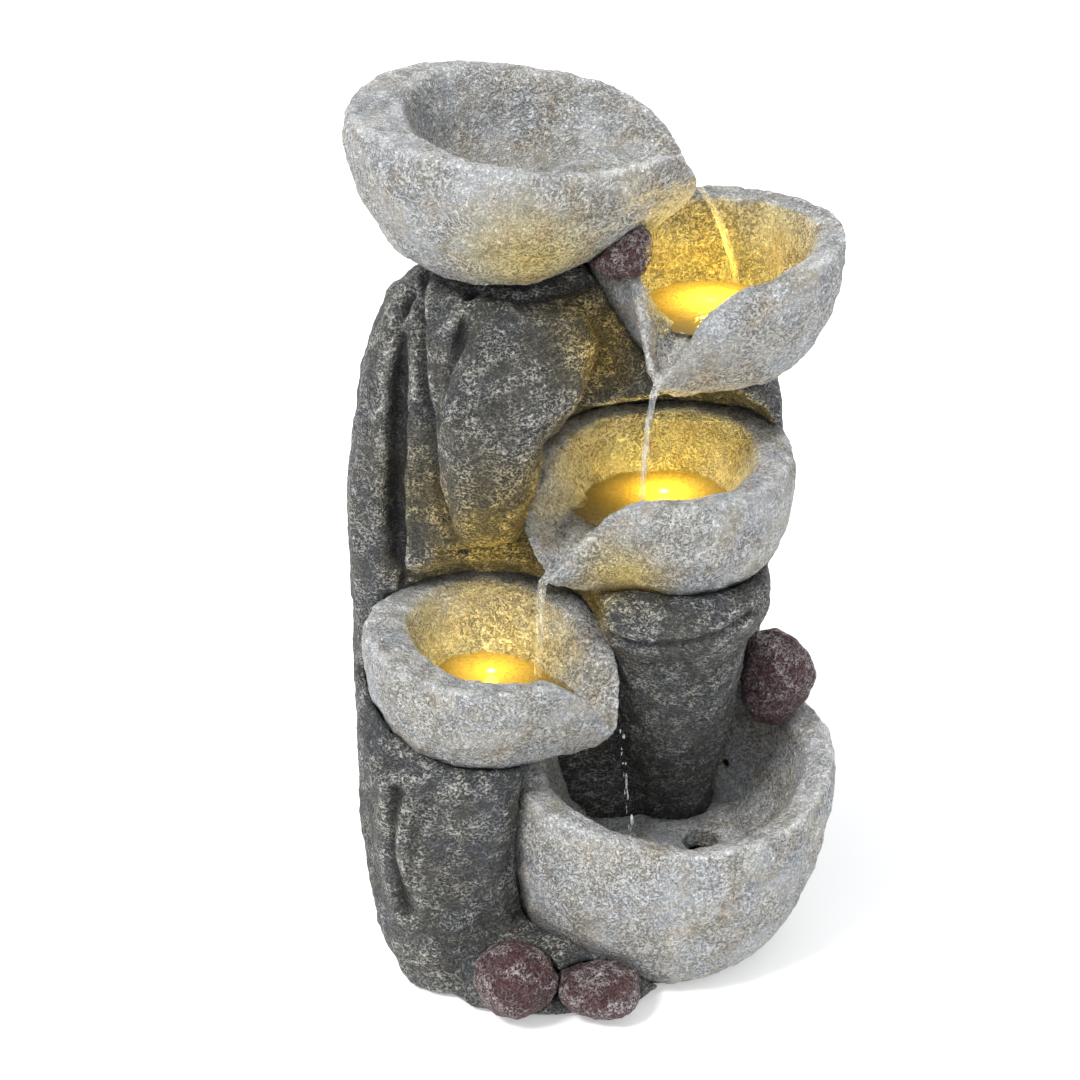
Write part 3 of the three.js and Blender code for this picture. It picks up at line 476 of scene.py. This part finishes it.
def painted_stone(name, deep, base, cool, warm, brush_and_highlight, brushing_and_highlights, warmth, darkening, dusting_and_highlights, dustier=0.0,
                  coarse=1.0, lay=(1.0, 1.0, 1.0), upward=0.3, spills=(), painted_lamp_light=()):
    """Cast stone: a base coat worked with fine ridges and nicks, dark in the nicks and painted pale on the
    ridges.
    The dark nicks and specks are partly painted shade, and the pale ridges and pale coat partly painted
    highlights.

    deep, base, cool, warm, brush_and_highlight: the colours, from the nicks to the ridges.
    brushing_and_highlights, warmth, darkening, dusting_and_highlights: how much of the coats shows;
    dustier adds to that pale coat in patches.
    coarse, lay: size and stretch of the texture; upward: how much paler the faces that look up are."""
    s = Shader(name)
    grain = s.noise(1.15 * coarse, 3.0, 0.65)
    patch = s.span(s.noise(11.0, 3.0, 0.6), 0.40, 0.58)
    high = s.plus(s.times(s.value("height"), 0.35), s.times(s.value("edge"), 0.45))
    high = s.plus(high, s.times(s.value("up"), upward))

    # Pale ridges: pale paint, partly painted highlights of a bumpy surface.
    pale = crossed_ridges(s, 3.8 * coarse, 2.5 * coarse, 0.062, s.stretched(*lay))
    pale = s.times(pale, s.span(grain, 0.40, 0.52))
    aside = s.stretched(*lay, shift=(0.37, 0.11, 0.23))
    # Dark nicks beside them, fewer where the surface stands high: dark paint, partly painted shade.
    dark = crossed_ridges(s, 3.0 * coarse, 2.1 * coarse, 0.078, aside)
    dark = s.times(dark, s.span(grain, 0.60, 0.48))
    dark = s.times(dark, s.span(s.noise(24.0, 3.0, 0.6), 0.36, 0.60, 0.5, 1.0))
    dark = s.times(dark, s.span(high, -0.4, 0.9, 1.0, 0.6))

    colour = s.mix(s.span(s.noise(26.0, 3.0, 0.55), 0.42, 0.60), cool, base)
    stains = s.span(s.noise(16.0, 4.0, 0.6, 0.6), 0.46, 0.66)
    colour = s.mix(s.times(stains, warmth), colour, warm)
    colour = s.mix(s.times(dark, darkening), colour, deep)
    # How much the pale ridges show, more on edges, raised relief and faces that look up: partly painted
    # highlights.
    brushed_and_highlighted = s.times(s.span(high, -0.35, 0.45, 0.4, 1.0), s.plus(s.times(patch, 0.75), 0.25))
    colour = s.mix(s.times(s.times(pale, brushed_and_highlighted), brushing_and_highlights), colour, brush_and_highlight)
    # A pale coat on edges, raised relief and faces that look up, and in patches: partly painted highlights.
    dust_and_highlight = s.plus(s.plus(high, grain), s.times(patch, 0.3 + dustier))
    colour = s.mix(s.times(s.span(dust_and_highlight, 0.88, 1.40), dusting_and_highlights), colour, brush_and_highlight)
    # Dark specks in small pits: partly painted shade.
    specks = s.times(s.span(s.cells(3.1 * coarse), 0.17, 0.09), s.span(grain, 0.44, 0.60))
    colour = s.mix(s.times(specks, darkening), colour, deep)
    # Painted shade, with some dirt, darkens the joints between pieces and the rock's cut grooves.
    colour = s.mix(s.times(s.value("crevice_shade_and_dirt"), 0.55), colour, deep)
    # Painted lamp light: the stone tinted, and made to glow, where the lamps' light falls.
    colour = paint_lamp_light(s, colour, painted_lamp_light)
    if spills:
        s.set(Emission_Color=s.tinted(colour, (1.0, 0.66, 0.03)))
        s.set(Emission_Strength=lamp_spills(s, spills))

    height = s.math("SUBTRACT", s.times(pale, 0.7), s.times(dark, 0.9))
    height = s.plus(height, s.times(grain, 1.6))
    s.set(Base_Color=colour, Normal=s.bump(height, 1.3), Roughness=s.span(grain, 0.3, 0.7, 0.75, 0.45))
    s.set(Specular_IOR_Level=0.45)
    return s.material


def moulded(name, colour, roughness=0.5, grain_mm=0.45, depth_mm=0.05, variation=0.25):
    """Plastic or rubber with a fine moulded grain and a faint change of tone."""
    s = Shader(name)
    grain = s.noise(grain_mm, 3.0, 0.6)
    tone = s.noise(14.0, 3.0, 0.6)
    pale = tuple(min(1.0, c * (1.0 + variation) + 0.01 * variation) for c in colour)
    dim = tuple(c * (1.0 - variation) for c in colour)
    s.set(Base_Color=s.mix(s.span(tone, 0.3, 0.7), dim, pale), Normal=s.bump(grain, depth_mm, 0.8),
          Roughness=s.span(tone, 0.3, 0.7, roughness - 0.07, roughness + 0.07))
    return s.material


def turned_metal(name, colour, roughness=0.3):
    """Metal with the fine rings that turning leaves."""
    s = Shader(name)
    rings = s.noise(0.35, 2.0, 0.5, 0.0, s.stretched(1.0, 0.12, 1.0))
    dim = tuple(c * 0.82 for c in colour)
    s.set(Base_Color=s.mix(s.span(rings, 0.35, 0.65), dim, colour), Metallic=1.0,
          Roughness=s.span(rings, 0.3, 0.7, roughness, roughness + 0.15), Normal=s.bump(rings, 0.02, 0.5))
    return s.material


def lit_lens(name, centre):
    """A lamp's lens, brightest over its middle."""
    s = Shader(name)
    glow = s.radial(centre, 5.0)
    ribs = s.noise(0.8, 2.0, 0.5)
    s.set(Base_Color=(1.0, 0.82, 0.42, 1.0), Roughness=0.25, Normal=s.bump(ribs, 0.05, 0.5))
    s.set(Emission_Color=s.mix(glow, (1.0, 0.55, 0.06), (1.0, 0.86, 0.5)))
    s.set(Emission_Strength=s.plus(s.times(glow, 14.0), 5.0))
    return s.material


def pool_water(name, centre, glow, cover, spot):
    """A shallow pool over a lamp, with ripples, yellow where the lamp lights it.

    glow, spot: brightness of the lit water and of the lamp seen through it; cover: how much it hides."""
    s = Shader(name)
    near = s.radial(centre, 46.0)
    point = s.radial(centre, 3.6)
    ripple = s.noise(5.0, 2.0, 0.5, 1.2)
    flicker = s.noise(2.4, 4.0, 0.65, 1.8)
    lit = s.times(s.math("POWER", near, 1.3), s.span(flicker, 0.30, 0.68, 0.35, 1.15))
    tone = s.times(near, s.span(flicker, 0.3, 0.6, 0.4, 1.0))
    s.set(Base_Color=s.mix(tone, (0.24, 0.17, 0.06), (0.66, 0.46, 0.08)), Roughness=0.04, IOR=1.33)
    s.set(Normal=s.bump(ripple, 0.8, 0.7), Alpha=s.span(near, 0.0, 1.0, cover, cover + 0.12))
    yellow = s.mix(near, (1.0, 0.52, 0.02), (1.0, 0.74, 0.16))
    s.set(Emission_Color=s.mix(point, yellow, (1.0, 0.96, 0.82)))
    s.set(Emission_Strength=s.plus(s.times(lit, glow), s.times(point, spot)))
    return s.material


def falling_water(name, tint, glow, lamps=()):
    """Falling water: clear, with painted highlights in pale streaks along the fall, painted yellow lamp light
    near the lamps it falls towards, and a faint painted glow all over.
    """
    s = Shader(name)
    streaks = s.noise(1.3, 3.0, 0.6, 0.8, s.stretched(1.0, 1.0, 0.16))
    # Painted highlights: pale streaks along the fall.
    painted_highlight = s.span(streaks, 0.50, 0.66)
    lit = 0.0
    for centre in lamps:
        lit = s.math("MAXIMUM", s.radial(tuple(centre), 62.0), lit)
    colour = s.mix(lit, s.mix(painted_highlight, tint, (0.97, 0.98, 0.99)), (1.0, 0.78, 0.25))
    s.set(Base_Color=colour, Roughness=0.04, IOR=1.33, Normal=s.bump(streaks, 0.7, 0.8))
    s.set(Alpha=s.plus(s.times(painted_highlight, 0.40), 0.12), Specular_IOR_Level=0.9)
    s.set(Emission_Color=colour, Emission_Strength=s.plus(s.times(lit, 0.16), glow))
    return s.material


# ---------------------------------------------------------------- castings

# The pieces whose joints with each casting are painted dark: painted shade, with some dirt.
NEIGHBOURS = {
    "rock_column": ["top_bowl", "upper_bowl", "middle_bowl", "lower_bowl", "basin", "pebble_top",
                    "pebble_right", "pebble_front_large", "pebble_front_small"],
    "top_bowl": ["rock_column", "pebble_top", "upper_bowl"],
    "upper_bowl": ["rock_column", "pebble_top", "top_bowl"],
    "middle_bowl": ["rock_column"],
    "lower_bowl": ["rock_column", "basin"],
    "basin": ["rock_column", "lower_bowl", "pebble_right", "pebble_front_large", "pebble_front_small"],
}
PEBBLE_NEIGHBOURS = ["rock_column", "basin"]
ROCK_VOXEL = 0.0018        # metres, the size of the small even faces
BOWL_VOXEL = 0.0014
PEBBLE_VOXEL = 0.0011
CREVICE_REACH = 0.006      # metres
FLOOR_CLEAR = 0.0008       # how far the castings' undersides stay above the floor
EDGE_BLUR = 14             # passes: the surface that edges stand out from
HEIGHT_BLUR = 12           # passes: the relief that small heights stand out from
SOFTEN = 2                 # passes
ATTRIBUTE_LIMIT = 1.5      # mm

# Where the relief fades out, in metres: round each lamp and the outlet, and in front of the rear face.
CALM_RADIUS = 0.009
CALM_FADE = 0.008
CALM_HEIGHT = 0.02
REAR_CALM = 0.008
REAR_FADE = 0.010
REAR_SHARE = 0.12          # of the relief that is left on the rear face


def calm(points):
    """0 close to a lamp, the outlet or the rear face, where pieces fit closely, and 1 elsewhere."""
    keep = np.ones(len(points))
    for centre in [*LAMP_CENTRES.values(), OUTLET_CENTRE]:
        apart = np.linalg.norm(points[:, :2] - centre[:2], axis=1)
        level = np.abs(points[:, 2] - centre[2]) < CALM_HEIGHT
        fading = np.clip((apart - CALM_RADIUS) / CALM_FADE, 0.0, 1.0)
        keep = np.minimum(keep, np.where(level, fading, 1.0))
    ahead = cad_box[1][1] - REAR_CALM - points[:, 1]
    return np.minimum(keep, np.clip(ahead / REAR_FADE, REAR_SHARE, 1.0))


def facing_lamp(node, points, out):
    """1 where a bowl's surface faces the lamp in it, and 0 on its outside."""
    for key, bowl in LAMPS.items():
        if bowl == node:
            towards = LAMP_CENTRES[key] + np.array((0.0, 0.0, 0.012)) - points
            towards /= np.maximum(np.linalg.norm(towards, axis=1), 1e-6)[:, None]
            return np.clip(0.35 + 2.0 * np.sum(towards * out, axis=1), 0.0, 1.0)
    return np.zeros(len(points))


def casting(node, voxel, smoothing, relief, material):
    """A cast stone piece: the node's shape, smoothed, with the relief of its surface worked into the mesh.

    voxel: size of its faces in metres; smoothing: passes; relief: how far it moves each point, in mm."""
    obj = remeshed(node, voxel)
    mesh = obj.data
    blur = Blur(mesh)
    points = vectors(mesh.vertices, "co")
    quiet = calm(points)[:, None]
    points = points + (blur.run(points, smoothing) - points) * quiet
    place(mesh, points)
    out = vectors(mesh.vertex_normals, "vector")
    edge = np.sum((points - blur.run(points, EDGE_BLUR)) * out, axis=1) / MM
    rise = relief(points / MM, out) * quiet[:, 0]
    moved = points + out * (rise * MM)[:, None]
    moved[:, 2] = np.maximum(moved[:, 2], FLOOR_CLEAR)
    place(mesh, moved)
    height = rise - blur.run(rise, HEIGHT_BLUR)
    trees = [TREES[other] for other in NEIGHBOURS.get(node, PEBBLE_NEIGHBOURS)]
    # Painted shade, with some dirt, where each casting meets its neighbours.
    crevice_shade_and_dirt = blur.run(nearness(moved, trees, CREVICE_REACH), SOFTEN)
    if node == "rock_column":
        # The rock's cut grooves are painted dark too: painted shade in the grooves.
        crevice_shade_and_dirt += 1.5 * np.clip(-carved(points / MM) / 5.0 - 0.25, 0.0, 0.75)
    attribute(mesh, "edge", np.clip(blur.run(edge, SOFTEN), -ATTRIBUTE_LIMIT, ATTRIBUTE_LIMIT))
    attribute(mesh, "up", out[:, 2])
    attribute(mesh, "inner", facing_lamp(node, points, out))
    attribute(mesh, "height", np.clip(height, -ATTRIBUTE_LIMIT, ATTRIBUTE_LIMIT))
    attribute(mesh, "crevice_shade_and_dirt", np.clip(crevice_shade_and_dirt, 0.0, 1.75))
    mesh.materials.append(material)
    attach(obj, ROOT)
    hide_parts(node)
    return obj


def bowl_relief(seed):
    def relief(p, out):
        pits = dents(p + 0.6 * layered(p, 5.0, 2, seed)[:, None], 6.5, seed)
        return (1.0 * layered(p, 17.0, 3, seed) + 0.75 * (pits - 0.45)
                + 0.42 * layered(p, 3.4, 2, seed + 3))
    return relief


def pebble_relief(seed):
    def relief(p, out):
        chips = dents(p, 9.0, seed)
        return 1.1 * (chips - 0.5) + 0.6 * layered(p, 6.0, 3, seed) + 0.2 * layered(p, 2.4, 2, seed + 5)
    return relief


def rock_relief(p, out):
    folds = layered(p + 4.0 * noise(p, 30.0, 5)[:, None], (15.0, 15.0, 70.0), 2, 11)
    ridge = np.clip(1.0 - np.abs(folds) * 2.2, 0.0, 1.0)
    pits = dents(p, (5.5, 5.5, 8.0), 3)
    return (0.2 * folds - 0.1 * ridge ** 2 + 0.9 * layered(p, 14.0, 3, 21)
            + 0.7 * (pits - 0.45) + 0.32 * layered(p, (3.0, 3.0, 5.0), 2, 31) + carved(p))


# Lines cut into the rock, in mm: points along the line, half width, depth.
CUTS = [
    ([(-74, 60, 336), (-76, 55, 322), (-85, 44, 299), (-88, 41, 264), (-91, 39, 228), (-90, 37, 196),
      (-86, 32, 176)], 4.0, 8.5),
    ([(-63, 63, 334), (-75, 40, 320), (-79, 32, 297), (-77, 26, 273), (-75, 22, 248),
      (-77, 15, 225)], 2.8, 5.0),
    ([(-50, 36, 334), (-62, 19, 320), (-69, 18, 301), (-77, 8, 283), (-76, 14, 250), (-75, 10, 227),
      (-65, 16, 205)], 2.9, 4.8),
    ([(-47, 32, 331), (-32, 20, 330), (-11, 20, 330), (2, 15, 334)], 3.0, 2.6),
    ([(-124, -36, 111), (-129, -37, 95), (-130, -37, 80), (-129, -42, 68), (-125, -46, 52)], 4.2, 5.0),
    ([(-109, -46, 117), (-116, -45, 102), (-120, -46, 87), (-123, -46, 68)], 2.6, 2.0),
    ([(-21, -36, 181), (-18, -47, 179), (-10, -57, 177), (3, -68, 178), (19, -75, 180), (34, -76, 184),
      (49, -71, 187)], 2.6, 3.0),
]


def carved(p):
    """How the cuts move each point, in mm, with a low swell along both sides of each."""
    total = np.zeros(len(p))
    for line, width, depth in CUTS:
        line = np.array(line, float)
        apart = np.full(len(p), 1e9)
        for a, b in zip(line[:-1], line[1:]):
            along = np.clip((p - a) @ (b - a) / ((b - a) @ (b - a)), 0.0, 1.0)
            apart = np.minimum(apart, np.linalg.norm(p - a - along[:, None] * (b - a), axis=1))
        apart = apart / width + 0.22 * noise(p, 9.0, 71)
        total += depth * (0.07 * np.exp(-((apart - 2.2) / 0.9) ** 2) - np.exp(-np.abs(apart) ** 2.4))
    return total


# ---------------------------------------------------------------- water

# Each pool: the level of its water and the farthest it reaches from its lamp, in metres, where the stream
# falls in, in mm, and pool_water's glow, cover and spot.
POOLS = {
    "upper": {"level": 0.313, "reach": 0.044, "splash": (91, 30), "looks": (0.42, 0.87, 0.0)},
    "middle": {"level": 0.223, "reach": 0.050, "splash": (9, -28), "looks": (0.24, 0.50, 2.5)},
    "lower": {"level": 0.144, "reach": 0.046, "splash": (-39, -15), "looks": (0.08, 0.50, 2.5)},
}
POOL_SPOKES = 120
POOL_RINGS = 30
WATER_SKIN = 0.0006        # metres
INTO_WALL = 0.0008         # metres, how far the water goes into the wall of the bowl
RIPPLE_HEIGHT = 0.45       # mm
RIPPLE_FADE = 11.0         # mm

# Each stream, in mm: the bowl it leaves, points down its spout to the tip, where it lands, half its width in
# the spout, at the tip and where it lands, and how straight the drop starts.
STREAMS = {
    "top": ("top_bowl", [(40, 21, 379.6), (50, 20, 377.4), (58, 18.8, 376.2), (61.8, 18.6, 372.5)],
            (91, 30, 313.5), (4.2, 2.8, 2.2), 0.5),
    "upper": ("upper_bowl", [(43, -8, 311.8), (36, -13.5, 308.6), (28, -20, 302.6), (19, -26.8, 297.0),
                             (14.6, -30.2, 293.5)], (9, -28, 223.5), (3.0, 1.9, 1.4), 0.3),
    "middle": ("middle_bowl", [(-10, -20.6, 219.6), (-22, -24.2, 214.0), (-34, -28, 207.2),
                               (-43.6, -31, 205.2)], (-39, -15, 144.5), (4.0, 2.8, 2.1), 0.12),
}
SPOUT_STEPS = 8            # between two points down a spout
PROBE = 0.03               # metres, how far above and below those points a spout's floor is looked for
FALL_STEPS = 40
STREAM_SIDES = 20
DROPS_START = (-18.5, -65.5, 134)   # mm
DROPS_END = (-12, -70, 62)
DROP_COUNT = 24


def riding(name, mesh, material):
    """Makes a piece of water that rides on the fountain."""
    mesh.materials.append(material)
    obj = add_object(name, mesh)
    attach(obj, ROOT)


def spoke(k):
    a = 2.0 * math.pi * k / POOL_SPOKES
    return Vector((math.cos(a), math.sin(a), 0.0))


def shore(bowl, centre, reach):
    """How far the water goes from the centre along each spoke, to the wall of the bowl."""
    tree = tree_of(bowl)
    edge = []
    for k in range(POOL_SPOKES):
        apart = tree.ray_cast(centre, spoke(k), reach)[3]
        edge.append(reach if apart is None else apart + INTO_WALL)
    for _ in range(3):
        edge = [min(edge[k], (edge[k - 1] + 2.0 * edge[k] + edge[(k + 1) % POOL_SPOKES]) / 4.0 + 0.0004)
                for k in range(POOL_SPOKES)]
    return edge


def pool(key, bowl, material):
    """The water in a bowl, with rings round the place where the stream falls in."""
    facts = POOLS[key]
    centre = Vector((*LAMP_CENTRES[key][:2], facts["level"]))
    edge = shore(bowl, centre, facts["reach"])
    rings = []
    for top in (True, False):
        for step in range(1, POOL_RINGS + 1):
            share = step / POOL_RINGS if top else 1.0 - (step - 1) / POOL_RINGS
            ring = []
            for k in range(POOL_SPOKES):
                p = centre + spoke(k) * edge[k] * share
                apart = math.hypot(p.x - facts["splash"][0] * MM, p.y - facts["splash"][1] * MM) / MM
                wave = RIPPLE_HEIGHT * math.cos(apart * 1.5) * math.exp(-apart / RIPPLE_FADE)
                wave *= 1.0 - share ** 6
                ring.append(p + Vector((0, 0, wave * MM - (0.0 if top else WATER_SKIN))))
            rings.append(ring)
    riding("water_pool_" + key, skin("water_pool_" + key, rings), material)


def spout_path(bowl, run):
    """Points down a spout, on its floor."""
    tree = tree_of(bowl)
    path = []
    for a, b in zip(run[:-1], run[1:]):
        for k in range(SPOUT_STEPS):
            p = Vector(a).lerp(Vector(b), k / SPOUT_STEPS) * MM
            floor = tree.ray_cast(p + Vector((0, 0, PROBE)), Vector((0, 0, -1)), 2.0 * PROBE)[0]
            path.append(Vector((p.x, p.y, p.z if floor is None else max(p.z, floor.z + WATER_SKIN))))
    return path


def fall_path(tip, end, fall):
    """Points down a drop that curves over from the tip of a spout."""
    path = []
    for k in range(FALL_STEPS + 1):
        t = k / FALL_STEPS
        path.append(Vector((tip.x + (end.x - tip.x) * t, tip.y + (end.y - tip.y) * t,
                            tip.z + (end.z - tip.z) * (fall * t + (1.0 - fall) * t * t))))
    return path


def eased(path):
    for _ in range(3):
        path = [path[0]] + [(path[k - 1] + 2.0 * path[k] + path[k + 1]) / 4.0
                            for k in range(1, len(path) - 1)] + [path[-1]]
    return path


def stream(name, bowl, run, landing, widths, fall, material, seed):
    """Water that runs down a spout, through the points of run, and falls to landing.

    It is a flat film in the spout, which gathers into a rounder thread that swells, sways and twists."""
    path = spout_path(bowl, run)
    bed = len(path)
    path = eased(path + fall_path(Vector(run[-1]) * MM, Vector(landing) * MM, fall))
    flow = ((Vector(run[-1]) - Vector(run[-3])) * Vector((1, 1, 0))).normalized()
    across = Vector((-flow.y, flow.x, 0.0))
    swell = noise(np.array(path) / MM, 6.0, seed)
    sway = noise(np.array(path) / MM, 11.0, seed + 3)
    last = len(path) - 1
    rings = []
    for k, centre in enumerate(path):
        t = max(0.0, (k - bed) / (last - bed))
        lead = max(0.0, 1.0 - k / bed)
        down = (path[min(k + 1, last)] - path[max(k - 1, 0)]).normalized()
        thick = down.cross(across).normalized()
        half = (widths[1] + (widths[2] - widths[1]) * t ** 0.6 + (widths[0] - widths[1]) * lead ** 0.8)
        half *= (1.0 + 0.25 * swell[k]) * MM
        flat = 0.14 + 0.30 * (1.0 - lead) + 0.3 * min(1.0, t * 1.6)
        middle = centre + across * sway[k] * 0.5 * MM * min(1.0, t * 3.0)
        twist = 0.9 * t
        ring = []
        for j in range(STREAM_SIDES):
            a = 2.0 * math.pi * j / STREAM_SIDES
            ripple = 1.0 + 0.12 * math.sin(3.0 * a + 9.0 * t + seed)
            side = across * math.cos(a + twist) + thick * math.sin(a + twist) * flat
            ring.append(middle + side * half * ripple)
        rings.append(ring)
    riding(name, skin(name, rings), material)


def drops(name, start, end, count, material, seed):
    """A broken thread of water: drops drawn out along their fall."""
    shape = bmesh.new()
    start, end = np.array(start, float), np.array(end, float)
    stray = three_values(np.arange(count * 3).reshape(count, 3), seed)
    for k, t in enumerate(np.linspace(0, 1, count)):
        size = 0.28 + 0.62 * stray[k, 0] ** 2
        long = 1.6 + 4.2 * stray[k, 1]
        centre = start + (end - start) * t + (stray[k] - 0.5) * np.array((2.4, 2.4, 6.0))
        made = bmesh.ops.create_icosphere(shape, subdivisions=3, radius=1.0)
        for v in made["verts"]:
            taper = 1.0 - 0.45 * max(0.0, v.co.z)
            v.co = Vector((centre[0] + v.co.x * size * taper, centre[1] + v.co.y * size * taper,
                           centre[2] + v.co.z * size * long)) * MM
    riding(name, finished_mesh(name, shape), material)


# ---------------------------------------------------------------- looks

# Colours of the lamps' light that is painted into the stone.
LAMP_LIGHT_GOLD = (1.0, 0.85, 0.32)
LAMP_LIGHT_AMBER = (1.0, 0.80, 0.22)

# Where the lamps' light falls on the stone outside the bowls: centre in metres, reach in mm, strength.
ROCK_SPILLS = [((-0.050, -0.017, 0.222), 70.0, 0.55), ((-0.002, -0.004, 0.308), 42.0, 0.55),
               ((-0.014, -0.020, 0.186), 30.0, 0.30), ((-0.080, 0.024, 0.235), 36.0, 0.12)]
BOWL_SPILLS = [((-0.038, -0.006, 0.358), 54.0, 0.30), ((-0.008, -0.046, 0.208), 34.0, 0.35),
               ((0.010, -0.021, 0.390), 26.0, 0.15)]
# Painted lamp light: a tint in the stone's colour where the lamps' light falls on the rock and the bowls.
ROCK_PAINTED_LAMP_LIGHT = [(centre, reach * 1.1, 0.3 + strength, LAMP_LIGHT_AMBER, False)
                for centre, reach, strength in ROCK_SPILLS]
BOWL_PAINTED_LAMP_LIGHT = [((0.076, 0.022, 0.330), 72.0, 0.95, LAMP_LIGHT_GOLD, True),
                (tuple(LAMP_CENTRES["middle"]), 66.0, 0.75, LAMP_LIGHT_GOLD, True),
                (tuple(LAMP_CENTRES["lower"]), 52.0, 0.75, LAMP_LIGHT_GOLD, True),
                ((-0.038, -0.006, 0.358), 50.0, 0.8, LAMP_LIGHT_GOLD, False),
                ((-0.008, -0.046, 0.208), 32.0, 0.8, LAMP_LIGHT_GOLD, False)]


def light_stone():
    return painted_stone("light_stone", deep=(0.050, 0.046, 0.040), base=(0.58, 0.565, 0.52),
                         cool=(0.55, 0.57, 0.595), warm=(0.48, 0.40, 0.29), brush_and_highlight=(0.95, 0.96, 0.97),
                         brushing_and_highlights=0.95, warmth=0.6, darkening=0.85, dusting_and_highlights=0.7, coarse=1.35,
                         spills=BOWL_SPILLS, painted_lamp_light=BOWL_PAINTED_LAMP_LIGHT)


def dark_rock():
    return painted_stone("dark_rock", deep=(0.008, 0.009, 0.011), base=(0.078, 0.077, 0.068),
                         cool=(0.064, 0.071, 0.084), warm=(0.090, 0.081, 0.056), brush_and_highlight=(0.86, 0.85, 0.79),
                         brushing_and_highlights=0.97, warmth=0.5, darkening=0.92, dusting_and_highlights=0.2, coarse=1.1,
                         lay=(0.72, 0.72, 1.35), upward=0.06, spills=ROCK_SPILLS, painted_lamp_light=ROCK_PAINTED_LAMP_LIGHT)


def red_pebble():
    return painted_stone("red_pebble", deep=(0.010, 0.005, 0.006), base=(0.100, 0.026, 0.028),
                         cool=(0.100, 0.036, 0.040), warm=(0.090, 0.018, 0.018), brush_and_highlight=(0.90, 0.84, 0.85),
                         brushing_and_highlights=0.95, warmth=0.4, darkening=0.9, dusting_and_highlights=0.45, dustier=0.10, upward=0.1)


def slot_materials():
    """The materials of the pieces that keep their CAD shape, by material slot."""
    return {
        "lamp_body": moulded("lamp_body", (0.03, 0.03, 0.032), 0.45),
        "cable": moulded("cable", (0.018, 0.018, 0.02), 0.5),
        "black_plastic": moulded("black_plastic", (0.028, 0.028, 0.031), 0.5),
        "dark_plastic": moulded("dark_plastic", (0.06, 0.062, 0.066), 0.45),
        "door_plastic": moulded("door_plastic", (0.055, 0.06, 0.066), 0.6, 0.9, 0.12),
        "sponge": moulded("sponge", (0.03, 0.04, 0.05), 0.95, 1.2, 0.6, 0.5),
        "blue_plastic": moulded("blue_plastic", (0.05, 0.16, 0.28), 0.35),
        "steel": turned_metal("steel", (0.62, 0.62, 0.62)),
        "brass": turned_metal("brass", (0.66, 0.5, 0.22)),
        "clear_hose": moulded("clear_hose", (0.5, 0.54, 0.54), 0.3),
        "rubber": moulded("rubber", (0.02, 0.02, 0.02), 0.75, 0.7, 0.08),
    }


def finish_node(node, material):
    for holder in nodes[node].material_slots:
        holder.link = "OBJECT"
        holder.material = material


def make_floor():
    shape = bmesh.new()
    half = 9.0             # metres
    corners = ((-half, -half), (half, -half), (half, half), (-half, half))
    shape.faces.new([shape.verts.new((x, y, 0.0)) for x, y in corners])
    mesh = finished_mesh("floor", shape)
    s = Shader("floor")
    s.set(Base_Color=s.mix(s.noise(60.0), (0.93, 0.93, 0.93), (0.95, 0.95, 0.95)), Roughness=0.8)
    s.set(Emission_Color=(1.0, 1.0, 1.0, 1.0), Emission_Strength=0.30)
    mesh.materials.append(s.material)
    floor = add_object("floor", mesh)


# ---------------------------------------------------------------- the scene

make_camera()
make_studio()

TREES = {name: tree_of(nodes[name]) for name in sorted(set().union(*NEIGHBOURS.values()))}

casting("rock_column", ROCK_VOXEL, 14, rock_relief, dark_rock())
stone = light_stone()
casts = {}
for number, bowl in enumerate(["top_bowl", "upper_bowl", "middle_bowl", "lower_bowl", "basin"]):
    casts[bowl] = casting(bowl, BOWL_VOXEL, 12, bowl_relief(40 + 10 * number), stone)
pebble = red_pebble()
for number, node in enumerate(["pebble_top", "pebble_right", "pebble_front_large", "pebble_front_small"]):
    casting(node, PEBBLE_VOXEL, 10, pebble_relief(90 + 10 * number), pebble)

materials = slot_materials()
for node in nodes:
    if SLOTS[node] in materials:
        finish_node(node, materials[SLOTS[node]])

make_floor()
for key, bowl in LAMPS.items():
    finish_node("lamp_" + key + "_lens", lit_lens("lamp_lens_" + key, tuple(LAMP_CENTRES[key])))
    lamp_glow(key)
    lamp_beam(key)
    facts = POOLS[key]
    centre = (*LAMP_CENTRES[key][:2], facts["level"])
    pool(key, casts[bowl], pool_water("water_pool_" + key, centre, *facts["looks"]))

falling = falling_water("water_stream", (0.72, 0.74, 0.76), 0.03, LAMP_CENTRES.values())
for number, (key, (bowl, run, landing, widths, fall)) in enumerate(STREAMS.items()):
    stream("water_fall_" + key, casts[bowl], run, landing, widths, fall, falling, 200 + 10 * number)
drops("water_drops_lower", DROPS_START, DROPS_END, DROP_COUNT,
      falling_water("water_drops", (0.92, 0.95, 0.97), 0.08), seed=7)
